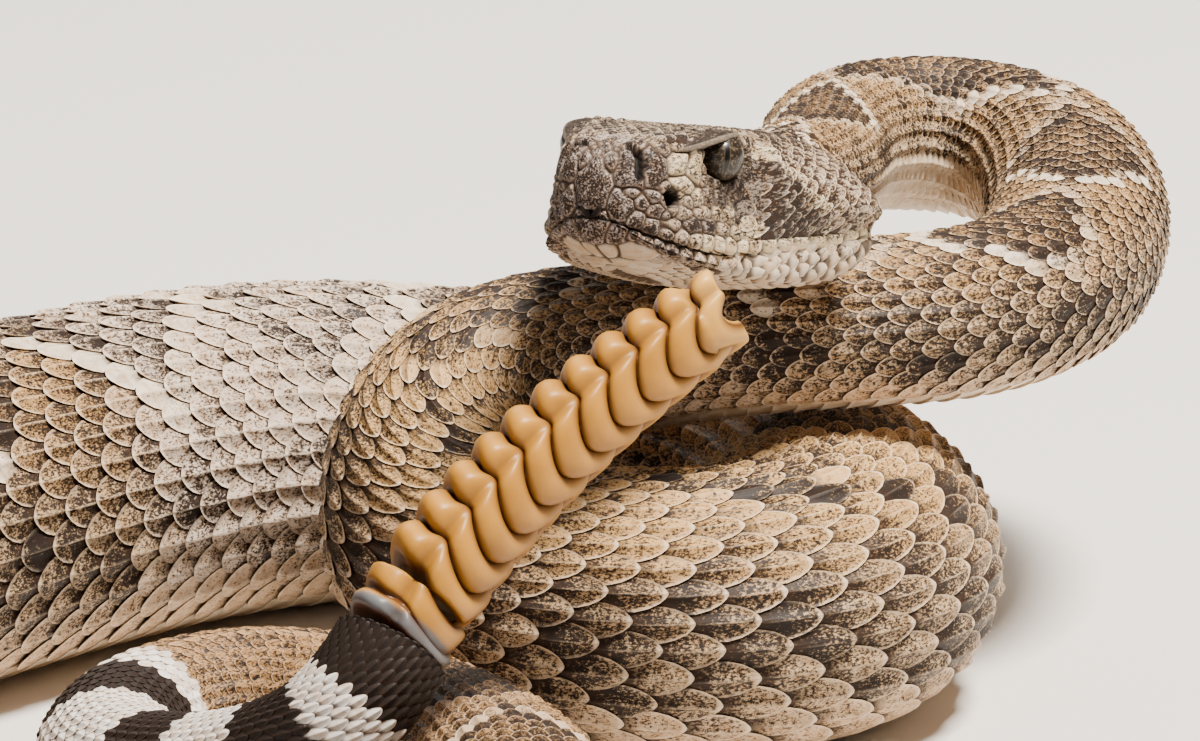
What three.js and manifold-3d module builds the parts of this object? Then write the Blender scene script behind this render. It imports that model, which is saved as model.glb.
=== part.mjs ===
// A western diamondback rattlesnake, life size, in millimetres, +Z up.
// It lies in a loose coil with its head drawn back over the coil and its rattle raised in front.
// The body is lofted along one smooth route and parted by thin cuts; the head is a skin over rails.
import * as THREE from "three";
import { NURBSCurve } from "three/addons/curves/NURBSCurve.js";
import { mergeVertices } from "three/addons/utils/BufferGeometryUtils.js";
import Module from "manifold-3d";

const wasm = await Module();
wasm.setup();

// Driving dimensions
const GAP = 0.3; // clearance between neighbouring pieces
const BELLY_SINK = 0.8; // how much of the belly is pressed flat where it lies on the floor
const BODY_SIDES = 20;
const BODY_STEP = 8; // distance between the rings of a body length
const SCUTE_PITCH = 6; // one belly scute to the next, on the raised lengths
const SCUTE_RISE = 0.6; // how far a scute's rear edge stands out
const SCUTE_DROP = 0.3; // the distance in which it falls back
const FOOTPRINT_MIDDLE = new THREE.Vector3(-51.8, -5.3, 0); // becomes the part's origin
const UP = new THREE.Vector3(0, 0, 1);

const HEAD_TURN = THREE.MathUtils.degToRad(-113.8); // which way the snout points, from +X
const HEAD_LIFT = THREE.MathUtils.degToRad(14.7); // how far the snout is raised
const HEAD_ROLL = THREE.MathUtils.degToRad(1.1);
const SNOUT = new THREE.Vector3(-1.1, 1.3, 77); // the notch of the upper lip at the snout tip
const HEAD_RINGS = 30;
const HEAD_SAMPLES = 3; // points from one rail to the next
const EYE_RADIUS = 3.1;

const RATTLE_SEGMENTS = 10;
const RATTLE_SIDES = 20;
const BASAL_LENGTH = 7;
const RATTLE_TALL = [16.9, 11.8]; // at its base and at its tip
const RATTLE_THICK = [11.5, 8.5];

// The route: x, y, z of the axis, then the body's width and height there.
const raised = (x, y, z, width, height) => ({ x, y, z, width, height });
const lying = (x, y, width, height) => raised(x, y, height / 2 - BELLY_SINK, width, height);
const ROUTE = [
  // neck, straight back from the head over the near side of the upper loop
  raised(18.5, 44, 67.5, 18, 14.5),
  raised(22, 53, 67, 17.5, 14.5),
  raised(27, 66, 64.5, 17.5, 15),
  raised(30, 82, 62, 18, 16),
  raised(30, 99, 59, 20, 19),
  // upper loop: round the far end, forward on the right, and back to the left under the head
  raised(35, 114.5, 57, 22, 21),
  raised(48, 121, 55.5, 23, 22),
  raised(61, 114.5, 54, 24, 22.5),
  raised(64.5, 99.5, 52, 25, 23),
  raised(63.5, 81.5, 50, 25, 23),
  raised(58.5, 63, 49, 25, 23),
  raised(46, 50.5, 49, 25, 23),
  raised(28, 46.5, 49.3, 25, 22.5),
  raised(10, 48.5, 46.8, 25, 22.5),
  raised(-5, 50, 44, 26, 24.5),
  // left bend, down to the floor
  raised(-16.5, 45, 40.5, 29, 28),
  raised(-22, 34.5, 32, 31.5, 31),
  raised(-17.5, 23, 23.3, 36, 35),
  raised(-3.5, 17.5, 19.2, 40, 37.5),
  // front of the coil, its right bend and the far side
  lying(11.5, 17, 42, 38),
  lying(26.5, 25, 43, 38),
  lying(33, 42, 43, 38),
  lying(28, 61, 43, 38),
  lying(14, 76, 44, 39.5),
  lying(-7, 86.5, 45, 41.5),
  lying(-33, 92.5, 46.5, 43),
  lying(-61, 78, 48, 45),
  lying(-86, 51, 49, 45.5),
  // wide loop round the left and the front
  lying(-111, 25, 49, 45.5),
  lying(-138, 2, 48.5, 45),
  lying(-158, -28, 47, 44),
  lying(-158, -65, 45, 42),
  lying(-138, -100, 43, 40),
  lying(-104, -120, 40, 37),
  lying(-66, -124, 37, 34.5),
  lying(-32, -112, 34, 32),
  lying(-12, -87, 31, 29),
  lying(-8, -56, 28, 26.5),
  lying(-12.5, -28.5, 25.5, 24.5),
  // tail: to the left, round, and up to the rattle
  lying(-24.5, -7, 24, 23.2),
  lying(-39, 5, 22.5, 22.3),
  lying(-51.5, 5, 21.5, 21.5),
  lying(-60.5, -4, 21, 20.8),
  lying(-62.5, -17.5, 20.8, 20),
  raised(-57, -28, 10.8, 20, 19),
  raised(-47.5, -37.5, 14, 18.7, 18.3),
  raised(-38.8, -44.2, 18.8, 17.5, 17.3),
  raised(-30.6, -46, 24.8, 16.5, 16.5),
  raised(-25.7, -40.2, 32.5, 15.8, 15.8),
];

// Body lengths, by how far along the route each one ends
const NECK_START = 6;
const BODY_LENGTHS = [
  ["neck", 58],
  ["upper_loop_far", 128],
  ["upper_loop_near", 204],
  ["left_bend", 276],
  ["front_coil", 344],
  ["far_coil", 430],
  ["left_body", 520],
  ["rear_body_1", 610],
  ["rear_body_2", 700],
  ["rear_body_3", 786],
  ["tail_root", 868],
  ["tail_turn", 948],
  ["tail_end", Infinity],
];
const RAISED = ["neck", "upper_loop_far", "upper_loop_near", "left_bend"]; // their scutes show

// The rattle's axis: its base, the point that it bows towards and its tip
const RATTLE_AXIS = [
  new THREE.Vector3(-25.7, -40.2, 32.5),
  new THREE.Vector3(-14.9, -27.2, 50.2),
  new THREE.Vector3(15.3, -8.8, 67.3),
];

// Head rails, from the snout back: distance behind the snout, then half width and height on the rail.
const RAIL_BACK = [0, 1.2, 4, 9, 14, 19, 24, 31, 38, 44, 48];
const HEAD_RAILS = {
  crown: {
    half: [0, 0, 0, 0, 0, 0, 0, 0, 0, 0, 0],
    high: [5.8, 7.2, 8.6, 10, 10.8, 11, 11, 11.1, 11.2, 11, 10.4],
  },
  brow: {
    half: [1.9, 3, 4.9, 7.2, 8.9, 10.2, 10.4, 10.6, 11.4, 11.8, 10.6],
    high: [5.5, 7, 8.5, 9.6, 10.3, 11, 10.9, 10.6, 10.2, 9.6, 9],
  },
  cheek: {
    half: [3, 4.8, 6.7, 8.5, 9.6, 10.8, 13.2, 16.6, 19.3, 20.4, 18.4],
    high: [2.7, 3.4, 4.1, 4.7, 5.2, 5.6, 5.4, 4.8, 4.2, 3.6, 3.4],
  },
  mouth: {
    half: [2.4, 4.1, 6.6, 9.3, 10.9, 12, 13.3, 15.5, 17.8, 19.4, 18],
    high: [-0.8, -1.4, -2.4, -3.6, -4.3, -4.4, -4, -3.3, -2.5, -1.1, -0.4],
  },
  jaw: {
    half: [1.9, 3.3, 4.9, 7.2, 8.9, 10.6, 12.3, 14.3, 15.9, 16.4, 14],
    high: [-2.3, -3, -4, -5.2, -6.3, -7, -7.4, -7.6, -7.2, -5.6, -4],
  },
  chin: {
    half: [0, 0, 0, 0, 0, 0, 0, 0, 0, 0, 0],
    high: [-2.8, -4, -5.4, -7, -8, -8.6, -9, -9.2, -8.8, -7.2, -5.4],
  },
};
// The lips stand out on both sides of the mouth's line, and die away at its corner.
const LIP_OUT = 0.45;
const LIP_APART = 1.5;
const LIP_CORNER = 46;

// Colours
const skin = new THREE.MeshStandardMaterial({ color: 0x9a8468, roughness: 0.7 });
const throat = new THREE.MeshStandardMaterial({ color: 0xd8cbb4, roughness: 0.65 });
const band = new THREE.MeshStandardMaterial({ color: 0x8d8a86, roughness: 0.7 });
const horn = new THREE.MeshStandardMaterial({ color: 0xc8a263, roughness: 0.4 });
const basalHorn = new THREE.MeshStandardMaterial({ color: 0x8a8c8e, roughness: 0.45 });
const wetEye = new THREE.MeshStandardMaterial({ color: 0x2b2621, roughness: 0.1 });

// A closed skin over rings of equal point count, with a fan over each end.
function loft(rings) {
  const sides = rings[0].length;
  const middle = (ring) =>
    ring.reduce((sum, p) => sum.add(p), new THREE.Vector3()).divideScalar(sides);
  const points = rings.flat();
  const startFan = points.push(middle(rings[0])) - 1;
  const endFan = points.push(middle(rings[rings.length - 1])) - 1;
  const index = [];
  for (let j = 0; j < sides; j++) {
    const next = (j + 1) % sides;
    for (let i = 0; i + 1 < rings.length; i++) {
      const here = i * sides;
      const there = here + sides;
      index.push(here + j, here + next, there + next, here + j, there + next, there + j);
    }
    const last = (rings.length - 1) * sides;
    index.push(startFan, next, j, endFan, last + j, last + next);
  }
  const geometry = new THREE.BufferGeometry();
  geometry.setAttribute(
    "position",
    new THREE.Float32BufferAttribute(points.flatMap((p) => [p.x, p.y, p.z]), 3),
  );
  geometry.setIndex(index);
  return geometry;
}

function toSolid(geometry) {
  const bare = geometry.clone();
  bare.deleteAttribute("normal");
  bare.deleteAttribute("uv");
  const merged = mergeVertices(bare, 1e-4);
  return new wasm.Manifold(
    new wasm.Mesh({
      numProp: 3,
      vertProperties: merged.getAttribute("position").array,
      triVerts: new Uint32Array(merged.index.array),
    }),
  );
}

function toGeometry(solid) {
  const mesh = solid.getMesh();
  const geometry = new THREE.BufferGeometry();
  geometry.setAttribute("position", new THREE.BufferAttribute(mesh.vertProperties, 3));
  geometry.setIndex(new THREE.BufferAttribute(mesh.triVerts, 1));
  geometry.computeVertexNormals();
  return geometry;
}

// Route: a cubic curve for the axis, and one at the same pace for width and height.
const DEGREE = 3;
const spans = ROUTE.length - DEGREE;
const knots = [0, 0, 0, ...Array.from({ length: spans + 1 }, (_, i) => i / spans), 1, 1, 1];
const axis = new NURBSCurve(
  DEGREE,
  knots,
  ROUTE.map((r) => new THREE.Vector4(r.x, r.y, r.z, 1)),
);
const girth = new NURBSCurve(
  DEGREE,
  knots,
  ROUTE.map((r) => new THREE.Vector4(r.width, r.height, 0, 1)),
);
const PACES = 3000;
const paces = [0];
for (let i = 1, last = axis.getPoint(0); i <= PACES; i++) {
  const point = axis.getPoint(i / PACES);
  paces.push(paces[i - 1] + point.distanceTo(last));
  last = point;
}
const ROUTE_LENGTH = paces[PACES];

// Round a body ring, from just beside the spine; a pair of points straddles the belly's midline.
const BODY_ANGLES = Array.from(
  { length: BODY_SIDES },
  (_, j) => ((j + 0.5) / BODY_SIDES) * 2 * Math.PI,
);

// The body's ring at a distance along the route, resting flat where it meets the floor.
// A belly above 0 pushes its underside out, for the rear edge of a scute.
function bodyRing(distance, { angles = BODY_ANGLES, belly = 0 } = {}) {
  const goal = Math.min(distance, ROUTE_LENGTH);
  const above = Math.max(1, paces.findIndex((s) => s >= goal));
  const share = (goal - paces[above - 1]) / (paces[above] - paces[above - 1]);
  const t = Math.min((above - 1 + share) / PACES, 1);
  const centre = axis.getPoint(t);
  const along = axis.getTangent(t).normalize();
  const up = UP.clone().addScaledVector(along, -along.z).normalize();
  const side = along.clone().cross(up);
  const size = girth.getPoint(t);
  return angles.map((angle) => {
    const rise = belly * THREE.MathUtils.smoothstep(-Math.cos(angle), 0.2, 0.6);
    const point = centre
      .clone()
      .addScaledVector(up, (size.y / 2 + rise) * Math.cos(angle))
      .addScaledVector(side, (size.x / 2 + rise) * Math.sin(angle));
    point.z = Math.max(point.z, 0);
    return point;
  });
}

function bodyLength(from, to, hasScutes) {
  const steps = Math.max(2, Math.round((to - from) / (hasScutes ? SCUTE_PITCH : BODY_STEP)));
  const step = (to - from) / steps;
  const rings = [bodyRing(from)];
  for (let i = 1; i <= steps; i++) {
    const end = from + i * step;
    if (hasScutes) rings.push(bodyRing(end - SCUTE_DROP, { belly: SCUTE_RISE }));
    rings.push(bodyRing(end));
  }
  return loft(rings);
}

// Head: x runs back to front in its own frame, with 0 at the snout, y to the left and z up.
const headFrame = new THREE.Matrix4()
  .makeRotationFromEuler(new THREE.Euler(HEAD_ROLL, -HEAD_LIFT, HEAD_TURN, "ZYX"))
  .setPosition(SNOUT);
const inHead = (x, y, z) => new THREE.Vector3(x, y, z).applyMatrix4(headFrame);
const rail = (name, out = 0, up = 0) => {
  const { half, high } = HEAD_RAILS[name];
  const points = RAIL_BACK.map((back, i) => {
    const fade = 1 - THREE.MathUtils.smoothstep(back, LIP_CORNER - 10, LIP_CORNER);
    const spread = Math.min(1, half[i] / 8);
    return new THREE.Vector3(-back, half[i] + out * fade, high[i] + up * spread);
  });
  return new THREE.CatmullRomCurve3(points, false, "centripetal");
};
const rails = [
  rail("crown"),
  rail("brow"),
  rail("cheek"),
  rail("mouth", LIP_OUT, LIP_APART),
  rail("mouth"),
  rail("mouth", LIP_OUT / 2, -LIP_APART),
  rail("jaw"),
  rail("chin"),
];

// One ring of the head: over the crown from left to right, then back under the chin.
function headRing(t) {
  const left = rails.map((curve) => curve.getPoint(t));
  const right = left.slice(1, -1).map((p) => new THREE.Vector3(p.x, -p.y, p.z));
  const outline = new THREE.CatmullRomCurve3([...left, ...right.reverse()], true, "centripetal");
  const count = outline.points.length * HEAD_SAMPLES;
  return Array.from({ length: count }, (_, i) => outline.getPoint(i / count).applyMatrix4(headFrame));
}

// The body's first ring, with as many points as a head ring and in the same order.
function neckRing(count) {
  const angles = Array.from({ length: count }, (_, i) => (-i / count) * 2 * Math.PI);
  return bodyRing(NECK_START, { angles });
}

function wholeHead() {
  const rings = Array.from({ length: HEAD_RINGS }, (_, i) => headRing(i / (HEAD_RINGS - 1)));
  rings.push(neckRing(rings[0].length));
  return toSolid(loft(rings));
}

// The slit of the mouth: a thin blade along the lips that turns down behind the jaw.
function mouthBlade() {
  const lips = RAIL_BACK.map((back, i) => new THREE.Vector2(-back, HEAD_RAILS.mouth.high[i]));
  const path = new THREE.SplineCurve([
    new THREE.Vector2(4, 0.2),
    ...lips.slice(0, -1),
    new THREE.Vector2(-46.6, -6),
    new THREE.Vector2(-47.6, -16),
  ]);
  const points = path.getSpacedPoints(40);
  const edge = (offset) =>
    points.map((p, i) => {
      const ahead = points[Math.min(i + 1, points.length - 1)];
      const behind = points[Math.max(i - 1, 0)];
      const run = ahead.clone().sub(behind).normalize();
      return new THREE.Vector2(p.x - run.y * offset, p.y + run.x * offset);
    });
  const outline = new THREE.Shape([...edge(GAP / 2), ...edge(-GAP / 2).reverse()]);
  const width = 60;
  const blade = new THREE.ExtrudeGeometry(outline, { depth: width, bevelEnabled: false });
  blade.rotateX(Math.PI / 2);
  blade.translate(0, width / 2, 0);
  blade.applyMatrix4(headFrame);
  return blade;
}

// A rounded lump in the head's frame, with a radius along each of the head's axes.
function lump(place, radii, detail = 12) {
  const geometry = new THREE.SphereGeometry(1, detail, Math.round(detail * 0.6));
  geometry.scale(...radii);
  geometry.translate(...place);
  geometry.applyMatrix4(headFrame);
  return geometry;
}

const EYE = { back: 18, out: 9.3, high: 7.5 };
const EYE_FACING = THREE.MathUtils.degToRad(24); // how far the eye looks forward of sideways
const SIDES = { left: 1, right: -1 };

const eyeball = (hand, radius) =>
  lump([-EYE.back, hand * EYE.out, EYE.high], [radius, radius, radius], 16);

// The ring of small scales round the eye, in place of lids.
function eyeRing(hand) {
  const geometry = new THREE.TorusGeometry(EYE_RADIUS + 0.1, 0.8, 6, 18);
  geometry.rotateX(Math.PI / 2);
  geometry.rotateZ(-hand * EYE_FACING);
  geometry.translate(-EYE.back + 0.6, hand * (EYE.out + 1.1), EYE.high);
  geometry.applyMatrix4(headFrame);
  return geometry;
}

function headParts() {
  const add = (solid, geometry) => solid.add(toSolid(geometry));
  const cut = (solid, geometry) => solid.subtract(toSolid(geometry));
  let whole = wholeHead();
  whole = add(whole, lump([0, 0, 3.4], [0.9, 2.8, 3.5])); // rostral plate
  for (const hand of Object.values(SIDES)) {
    whole = add(whole, eyeRing(hand));
    whole = cut(whole, eyeball(hand, EYE_RADIUS + GAP));
    whole = add(whole, lump([-17.4, hand * 9.3, 10.8], [5.6, 2.5, 1])); // brow plate
    whole = cut(whole, eyeball(hand, EYE_RADIUS + GAP));
    whole = add(whole, lump([-3, hand * 5.4, 6.2], [1.6, 1.3, 2.4])); // nasal plates
    whole = cut(whole, lump([-2.4, hand * 6.8, 6.2], [0.6, 1.5, 1.9], 10)); // nostril
    whole = cut(whole, lump([-6.9, hand * 8.8, 2.6], [1.4, 1.8, 1.3], 12)); // heat pit
  }
  const pieces = whole.subtract(toSolid(mouthBlade())).decompose();
  const [upper, lower] = pieces.sort((a, b) => b.volume() - a.volume());
  return { head: toGeometry(upper), lowerJaw: toGeometry(lower) };
}

// Rattle: flattened rings of horn, each a bulge with a rounded lip, waisted along both flat sides.
const rattleAxis = new THREE.QuadraticBezierCurve3(...RATTLE_AXIS);
const RATTLE_LENGTH = rattleAxis.getLength();
const WAIST_DEPTH = 0.22;
const WAIST_WIDTH = 0.4;
const WAIST_UP = 0.35; // the groove runs above the middle of the flat side

function rattleRing(distance, swell) {
  const share = Math.min(distance / RATTLE_LENGTH, 1);
  const along = rattleAxis.getTangentAt(share);
  const up = UP.clone().addScaledVector(along, -along.z).normalize();
  const side = along.clone().cross(up);
  const tall = THREE.MathUtils.lerp(...RATTLE_TALL, share) * swell;
  const thick = THREE.MathUtils.lerp(...RATTLE_THICK, share) * swell;
  return Array.from({ length: RATTLE_SIDES }, (_, j) => {
    const angle = (j / RATTLE_SIDES) * 2 * Math.PI;
    const offGroove = (Math.cos(angle) - WAIST_UP) / WAIST_WIDTH;
    const waist = 1 - WAIST_DEPTH * Math.exp(-(offGroove ** 2));
    return rattleAxis
      .getPointAt(share)
      .addScaledVector(up, (tall / 2) * Math.cos(angle))
      .addScaledVector(side, (thick / 2) * Math.sin(angle) * waist);
  });
}

// Each segment rises from a groove to a bulge and falls back: share of its length, then swell.
const SEGMENT_PROFILE = [
  [0, 0.8],
  [0.15, 0.94],
  [0.45, 1.03],
  [0.8, 0.98],
  [0.95, 0.86],
];

function rattleSegments(from, to, count) {
  const pitch = (to - from) / count;
  const rings = [];
  for (let i = 0; i < count; i++)
    for (const [share, swell] of SEGMENT_PROFILE)
      rings.push(rattleRing(from + (i + share) * pitch, swell));
  return loft(rings);
}

// Assembly
const snake = new THREE.Group();
const body = new THREE.Group();
body.position.copy(FOOTPRINT_MIDDLE).negate();
snake.add(body);

function place(name, geometry, material) {
  const mesh = new THREE.Mesh(geometry, material);
  mesh.name = name;
  body.add(mesh);
}

const { head, lowerJaw } = headParts();
place("head", head, skin);
place("lower_jaw", lowerJaw, throat);
for (const [name, hand] of Object.entries(SIDES))
  place("eye_" + name, eyeball(hand, EYE_RADIUS), wetEye);

let start = NECK_START + GAP;
for (const [name, end] of BODY_LENGTHS) {
  const stop = Math.min(end, ROUTE_LENGTH);
  const hasScutes = RAISED.includes(name);
  place(name, bodyLength(start, stop, hasScutes), name.startsWith("tail") ? band : skin);
  start = stop + GAP;
}

place("rattle_base", rattleSegments(2 * GAP, BASAL_LENGTH, 1), basalHorn);
const rings = rattleSegments(BASAL_LENGTH + GAP, RATTLE_LENGTH, RATTLE_SEGMENTS);
place("rattle", rings, horn);

export default snake;
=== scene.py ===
"""Dresses a coiled western diamondback rattlesnake: skin, scales, head plates, eyes and rattle."""

import math

import bpy
import numpy as np
from bpy.props import FloatProperty, FloatVectorProperty, IntProperty, PointerProperty
from mathutils import Matrix, Vector


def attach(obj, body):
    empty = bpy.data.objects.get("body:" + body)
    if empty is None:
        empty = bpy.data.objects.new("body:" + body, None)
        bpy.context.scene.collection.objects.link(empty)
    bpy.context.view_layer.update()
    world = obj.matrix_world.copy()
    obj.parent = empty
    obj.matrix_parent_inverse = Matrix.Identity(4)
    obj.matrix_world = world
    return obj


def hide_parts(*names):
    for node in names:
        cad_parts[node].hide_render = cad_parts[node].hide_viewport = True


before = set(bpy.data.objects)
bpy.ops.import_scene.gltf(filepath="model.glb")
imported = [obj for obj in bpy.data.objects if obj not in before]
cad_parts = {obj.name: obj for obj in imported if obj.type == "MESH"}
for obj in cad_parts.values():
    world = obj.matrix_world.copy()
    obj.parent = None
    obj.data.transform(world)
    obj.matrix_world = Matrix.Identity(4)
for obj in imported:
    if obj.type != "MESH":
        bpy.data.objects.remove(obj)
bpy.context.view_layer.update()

bl_info = {
    "name": "Western diamondback rattlesnake",
    "version": (1, 0, 0),
    "blender": (4, 5, 0),
    "location": "3D View > Sidebar > Snake",
    "description": "Builds a coiled rattlesnake scale by scale over its solid frame",
    "category": "Add Mesh",
}

MM = 0.001

FLOOR_CLEARANCE = 0.1  # the least height of any point of the skin or scales
BELLY_SINK = 0.8  # how much of the belly is pressed flat where it lies
FOOTPRINT_MIDDLE = np.array([-51.8, -5.3, 0.0])  # becomes the model's origin
NECK_START = 6.0  # where the neck leaves the head, along the route


def lying(x, y, width, height):
    return (x, y, height / 2 - BELLY_SINK, width, height)


# The route of the body's axis, as the solids have it: x, y, z, width and height in millimetres
ROUTE = np.array(
    [
        (18.5, 44, 67.5, 18, 14.5),
        (22, 53, 67, 17.5, 14.5),
        (27, 66, 64.5, 17.5, 15),
        (30, 82, 62, 18, 16),
        (30, 99, 59, 20, 19),
        (35, 114.5, 57, 22, 21),
        (48, 121, 55.5, 23, 22),
        (61, 114.5, 54, 24, 22.5),
        (64.5, 99.5, 52, 25, 23),
        (63.5, 81.5, 50, 25, 23),
        (58.5, 63, 49, 25, 23),
        (46, 50.5, 49, 25, 23),
        (28, 46.5, 49.3, 25, 22.5),
        (10, 48.5, 46.8, 25, 22.5),
        (-5, 50, 44, 26, 24.5),
        (-16.5, 45, 40.5, 29, 28),
        (-22, 34.5, 32, 31.5, 31),
        (-17.5, 23, 23.3, 36, 35),
        (-3.5, 17.5, 19.2, 40, 37.5),
        lying(11.5, 17, 42, 38),
        lying(26.5, 25, 43, 38),
        lying(33, 42, 43, 38),
        lying(28, 61, 43, 38),
        lying(14, 76, 44, 39.5),
        lying(-7, 86.5, 45, 41.5),
        lying(-33, 92.5, 46.5, 43),
        lying(-61, 78, 48, 45),
        lying(-86, 51, 49, 45.5),
        lying(-111, 25, 49, 45.5),
        lying(-138, 2, 48.5, 45),
        lying(-158, -28, 47, 44),
        lying(-158, -65, 45, 42),
        lying(-138, -100, 43, 40),
        lying(-104, -120, 40, 37),
        lying(-66, -124, 37, 34.5),
        lying(-32, -112, 34, 32),
        lying(-12, -87, 31, 29),
        lying(-8, -56, 28, 26.5),
        lying(-12.5, -28.5, 25.5, 24.5),
        lying(-24.5, -7, 24, 23.2),
        lying(-39, 5, 22.5, 22.3),
        lying(-51.5, 5, 21.5, 21.5),
        lying(-60.5, -4, 21, 20.8),
        lying(-62.5, -17.5, 20.8, 20),
        (-57, -28, 10.8, 20, 19),
        (-47.5, -37.5, 14, 18.7, 18.3),
        (-38.8, -44.2, 18.8, 17.5, 17.3),
        (-30.6, -46, 24.8, 16.5, 16.5),
        (-25.7, -40.2, 32.5, 15.8, 15.8),
    ]
)
# The bow of the rattle's axis: its start, the point that pulls it round, and its end
RATTLE_AXIS = np.array([(-25.7, -40.2, 32.5), (-14.9, -27.2, 50.2), (15.3, -8.8, 67.3)])

# The head's own frame: x forward from the upper lip's notch, y to the left, z up
HEAD_TURN = math.radians(-113.8)
HEAD_LIFT = math.radians(14.7)
HEAD_ROLL = math.radians(1.1)
SNOUT = np.array([-1.1, 1.3, 77.0])  # the upper lip's notch, in the body's frame

# Head rails: distance behind the snout, then half width and height on each rail
RAIL_BACK = np.array([0, 1.2, 4, 9, 14, 19, 24, 31, 38, 44, 48.0])
NONE = [0.0] * 11
HEAD_RAILS = {
    "crown": (NONE, [5.8, 7.2, 8.6, 10, 10.8, 11, 11, 11.1, 11.2, 11, 10.4]),
    "brow": (
        [1.9, 3, 4.9, 7.2, 8.9, 10.2, 10.4, 10.6, 11.4, 11.8, 10.6],
        [5.5, 7, 8.5, 9.6, 10.3, 11, 10.9, 10.6, 10.2, 9.6, 9],
    ),
    "cheek": (
        [3, 4.8, 6.7, 8.5, 9.6, 10.8, 13.2, 16.6, 19.3, 20.4, 18.4],
        [2.7, 3.4, 4.1, 4.7, 5.2, 5.6, 5.4, 4.8, 4.2, 3.6, 3.4],
    ),
    "mouth": (
        [2.4, 4.1, 6.6, 9.3, 10.9, 12, 13.3, 15.5, 17.8, 19.4, 18],
        [-0.8, -1.4, -2.4, -3.6, -4.3, -4.4, -4, -3.3, -2.5, -1.1, -0.4],
    ),
    "jaw": (
        [1.9, 3.3, 4.9, 7.2, 8.9, 10.6, 12.3, 14.3, 15.9, 16.4, 14],
        [-2.3, -3, -4, -5.2, -6.3, -7, -7.4, -7.6, -7.2, -5.6, -4],
    ),
    "chin": (NONE, [-2.8, -4, -5.4, -7, -8, -8.6, -9, -9.2, -8.8, -7.2, -5.4]),
}
LIP_OUT = 0.45  # how far the lips stand out beside the line of the mouth
LIP_APART = 1.5  # and how far above and below it
LIP_CORNER = 46.0  # where the mouth ends, behind the snout
CAP_DOME = 0.5
RAILS_ROUND = 14  # stretches from rail to rail round the whole head

# The left eye, nostril and heat pit: distance back, out to the side, and height
EYE = np.array([18.0, 9.4, 7.9])
EYE_RADIUS = 3.1
NOSTRIL = np.array([(3.2, 0, 7.9), (2.9, 0, 6.4), (2.4, 0, 4.7)])
PIT = np.array([6.6, 8.2, 2.3])


def smooth(low, high, value):
    """The usual smooth step from 0 at low to 1 at high."""
    t = np.clip((value - low) / (high - low), 0, 1)
    return t * t * (3 - 2 * t)


def band(value, start, full, easing, stop):
    """1 from full to easing, falling smoothly to 0 at start and stop."""
    return smooth(start, full, value) * smooth(stop, easing, value)


def unit(vectors):
    return vectors / np.maximum(np.linalg.norm(vectors, axis=-1, keepdims=True), 1e-12)


def sample(at, marks, rows):
    """The rows' values at places along the marks."""
    return np.stack([np.interp(at, marks, rows[:, k]) for k in range(rows.shape[1])], -1)


# The surface that everything lies on: a grid of rings, from the snout to the end of the tail


def clamped_spline(points, t):
    """A clamped uniform cubic B-spline through weights on the points, at each t from 0 to 1."""
    degree = 3
    spans = len(points) - degree
    knots = np.concatenate([[0] * degree, np.linspace(0, 1, spans + 1), [1] * degree])
    t = np.clip(t, 0, 1 - 1e-9)
    weights = ((t[:, None] >= knots[None, :-1]) & (t[:, None] < knots[None, 1:])).astype(float)
    for p in range(1, degree + 1):
        rise = knots[p:] - knots[:-p]
        with np.errstate(divide="ignore", invalid="ignore"):
            up = np.where(rise > 0, (t[:, None] - knots[None, :-p]) / rise, 0)
        count = weights.shape[1] - 1
        weights = up[:, :count] * weights[:, :-1] + (1 - up[:, 1 : count + 1]) * np.where(
            rise[1 : count + 1] > 0, weights[:, 1:], 0
        )
    return weights @ points


def catmull_rom(values, at, closed=False):
    """Catmull-Rom through rows of values, at fractional row numbers."""
    n = len(values)
    base = np.floor(at).astype(int)
    if not closed:
        base = np.clip(base, 0, n - 2)
    f = (at - base)[(...,) + (None,) * (values.ndim - 1)]
    rows = [base + k for k in (-1, 0, 1, 2)]
    rows = [r % n if closed else np.clip(r, 0, n - 1) for r in rows]
    a, b, c, d = (values[r] for r in rows)
    return b + 0.5 * f * (c - a + f * (2 * a - 5 * b + 4 * c - d + f * (3 * (b - c) + d - a)))


class Route:
    """The body's axis with its length, width, height and the frame of each section."""

    SAMPLES = 6001
    LEAST_HEIGHT = 0.12

    def __init__(self):
        table = clamped_spline(ROUTE, np.linspace(0, 1, self.SAMPLES))
        steps = np.linalg.norm(np.diff(table[:, :3], axis=0), axis=1)
        self.s = np.concatenate([[0], np.cumsum(steps)])
        self.length = self.s[-1]
        self.table = table
        along = unit(np.gradient(table[:, :3], self.s, axis=0))
        self.up = unit(np.array([0, 0, 1.0]) - along * along[:, 2:3])
        self.side = np.cross(along, self.up)

    def width_at(self, s):
        return float(np.interp(s, self.s, self.table[:, 3]))

    def rings(self, s, angles, inset):
        """The body's rings at distances along it, sunk by the inset and pressed flat on the floor."""
        table, up, side = (sample(s, self.s, rows) for rows in (self.table, self.up, self.side))
        tall = (table[:, 4] / 2 - inset)[:, None, None] * np.cos(angles)[None, :, None]
        wide = (table[:, 3] / 2 - inset)[:, None, None] * np.sin(angles)[None, :, None]
        points = table[:, None, :3] + up[:, None] * tall + side[:, None] * wide
        points[..., 2] = np.maximum(points[..., 2], self.LEAST_HEIGHT)
        return points


def head_matrix():
    turn = Matrix.Rotation(HEAD_TURN, 4, "Z")
    lift = Matrix.Rotation(-HEAD_LIFT, 4, "Y")
    roll = Matrix.Rotation(HEAD_ROLL, 4, "X")
    return np.array(Matrix.Translation(Vector(SNOUT)) @ turn @ lift @ roll)


def head_to_world(points):
    m = head_matrix()
    return points @ m[:3, :3].T + m[:3, 3]


def world_to_head(points):
    m = head_matrix()
    return (points - m[:3, 3]) @ m[:3, :3]


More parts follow.
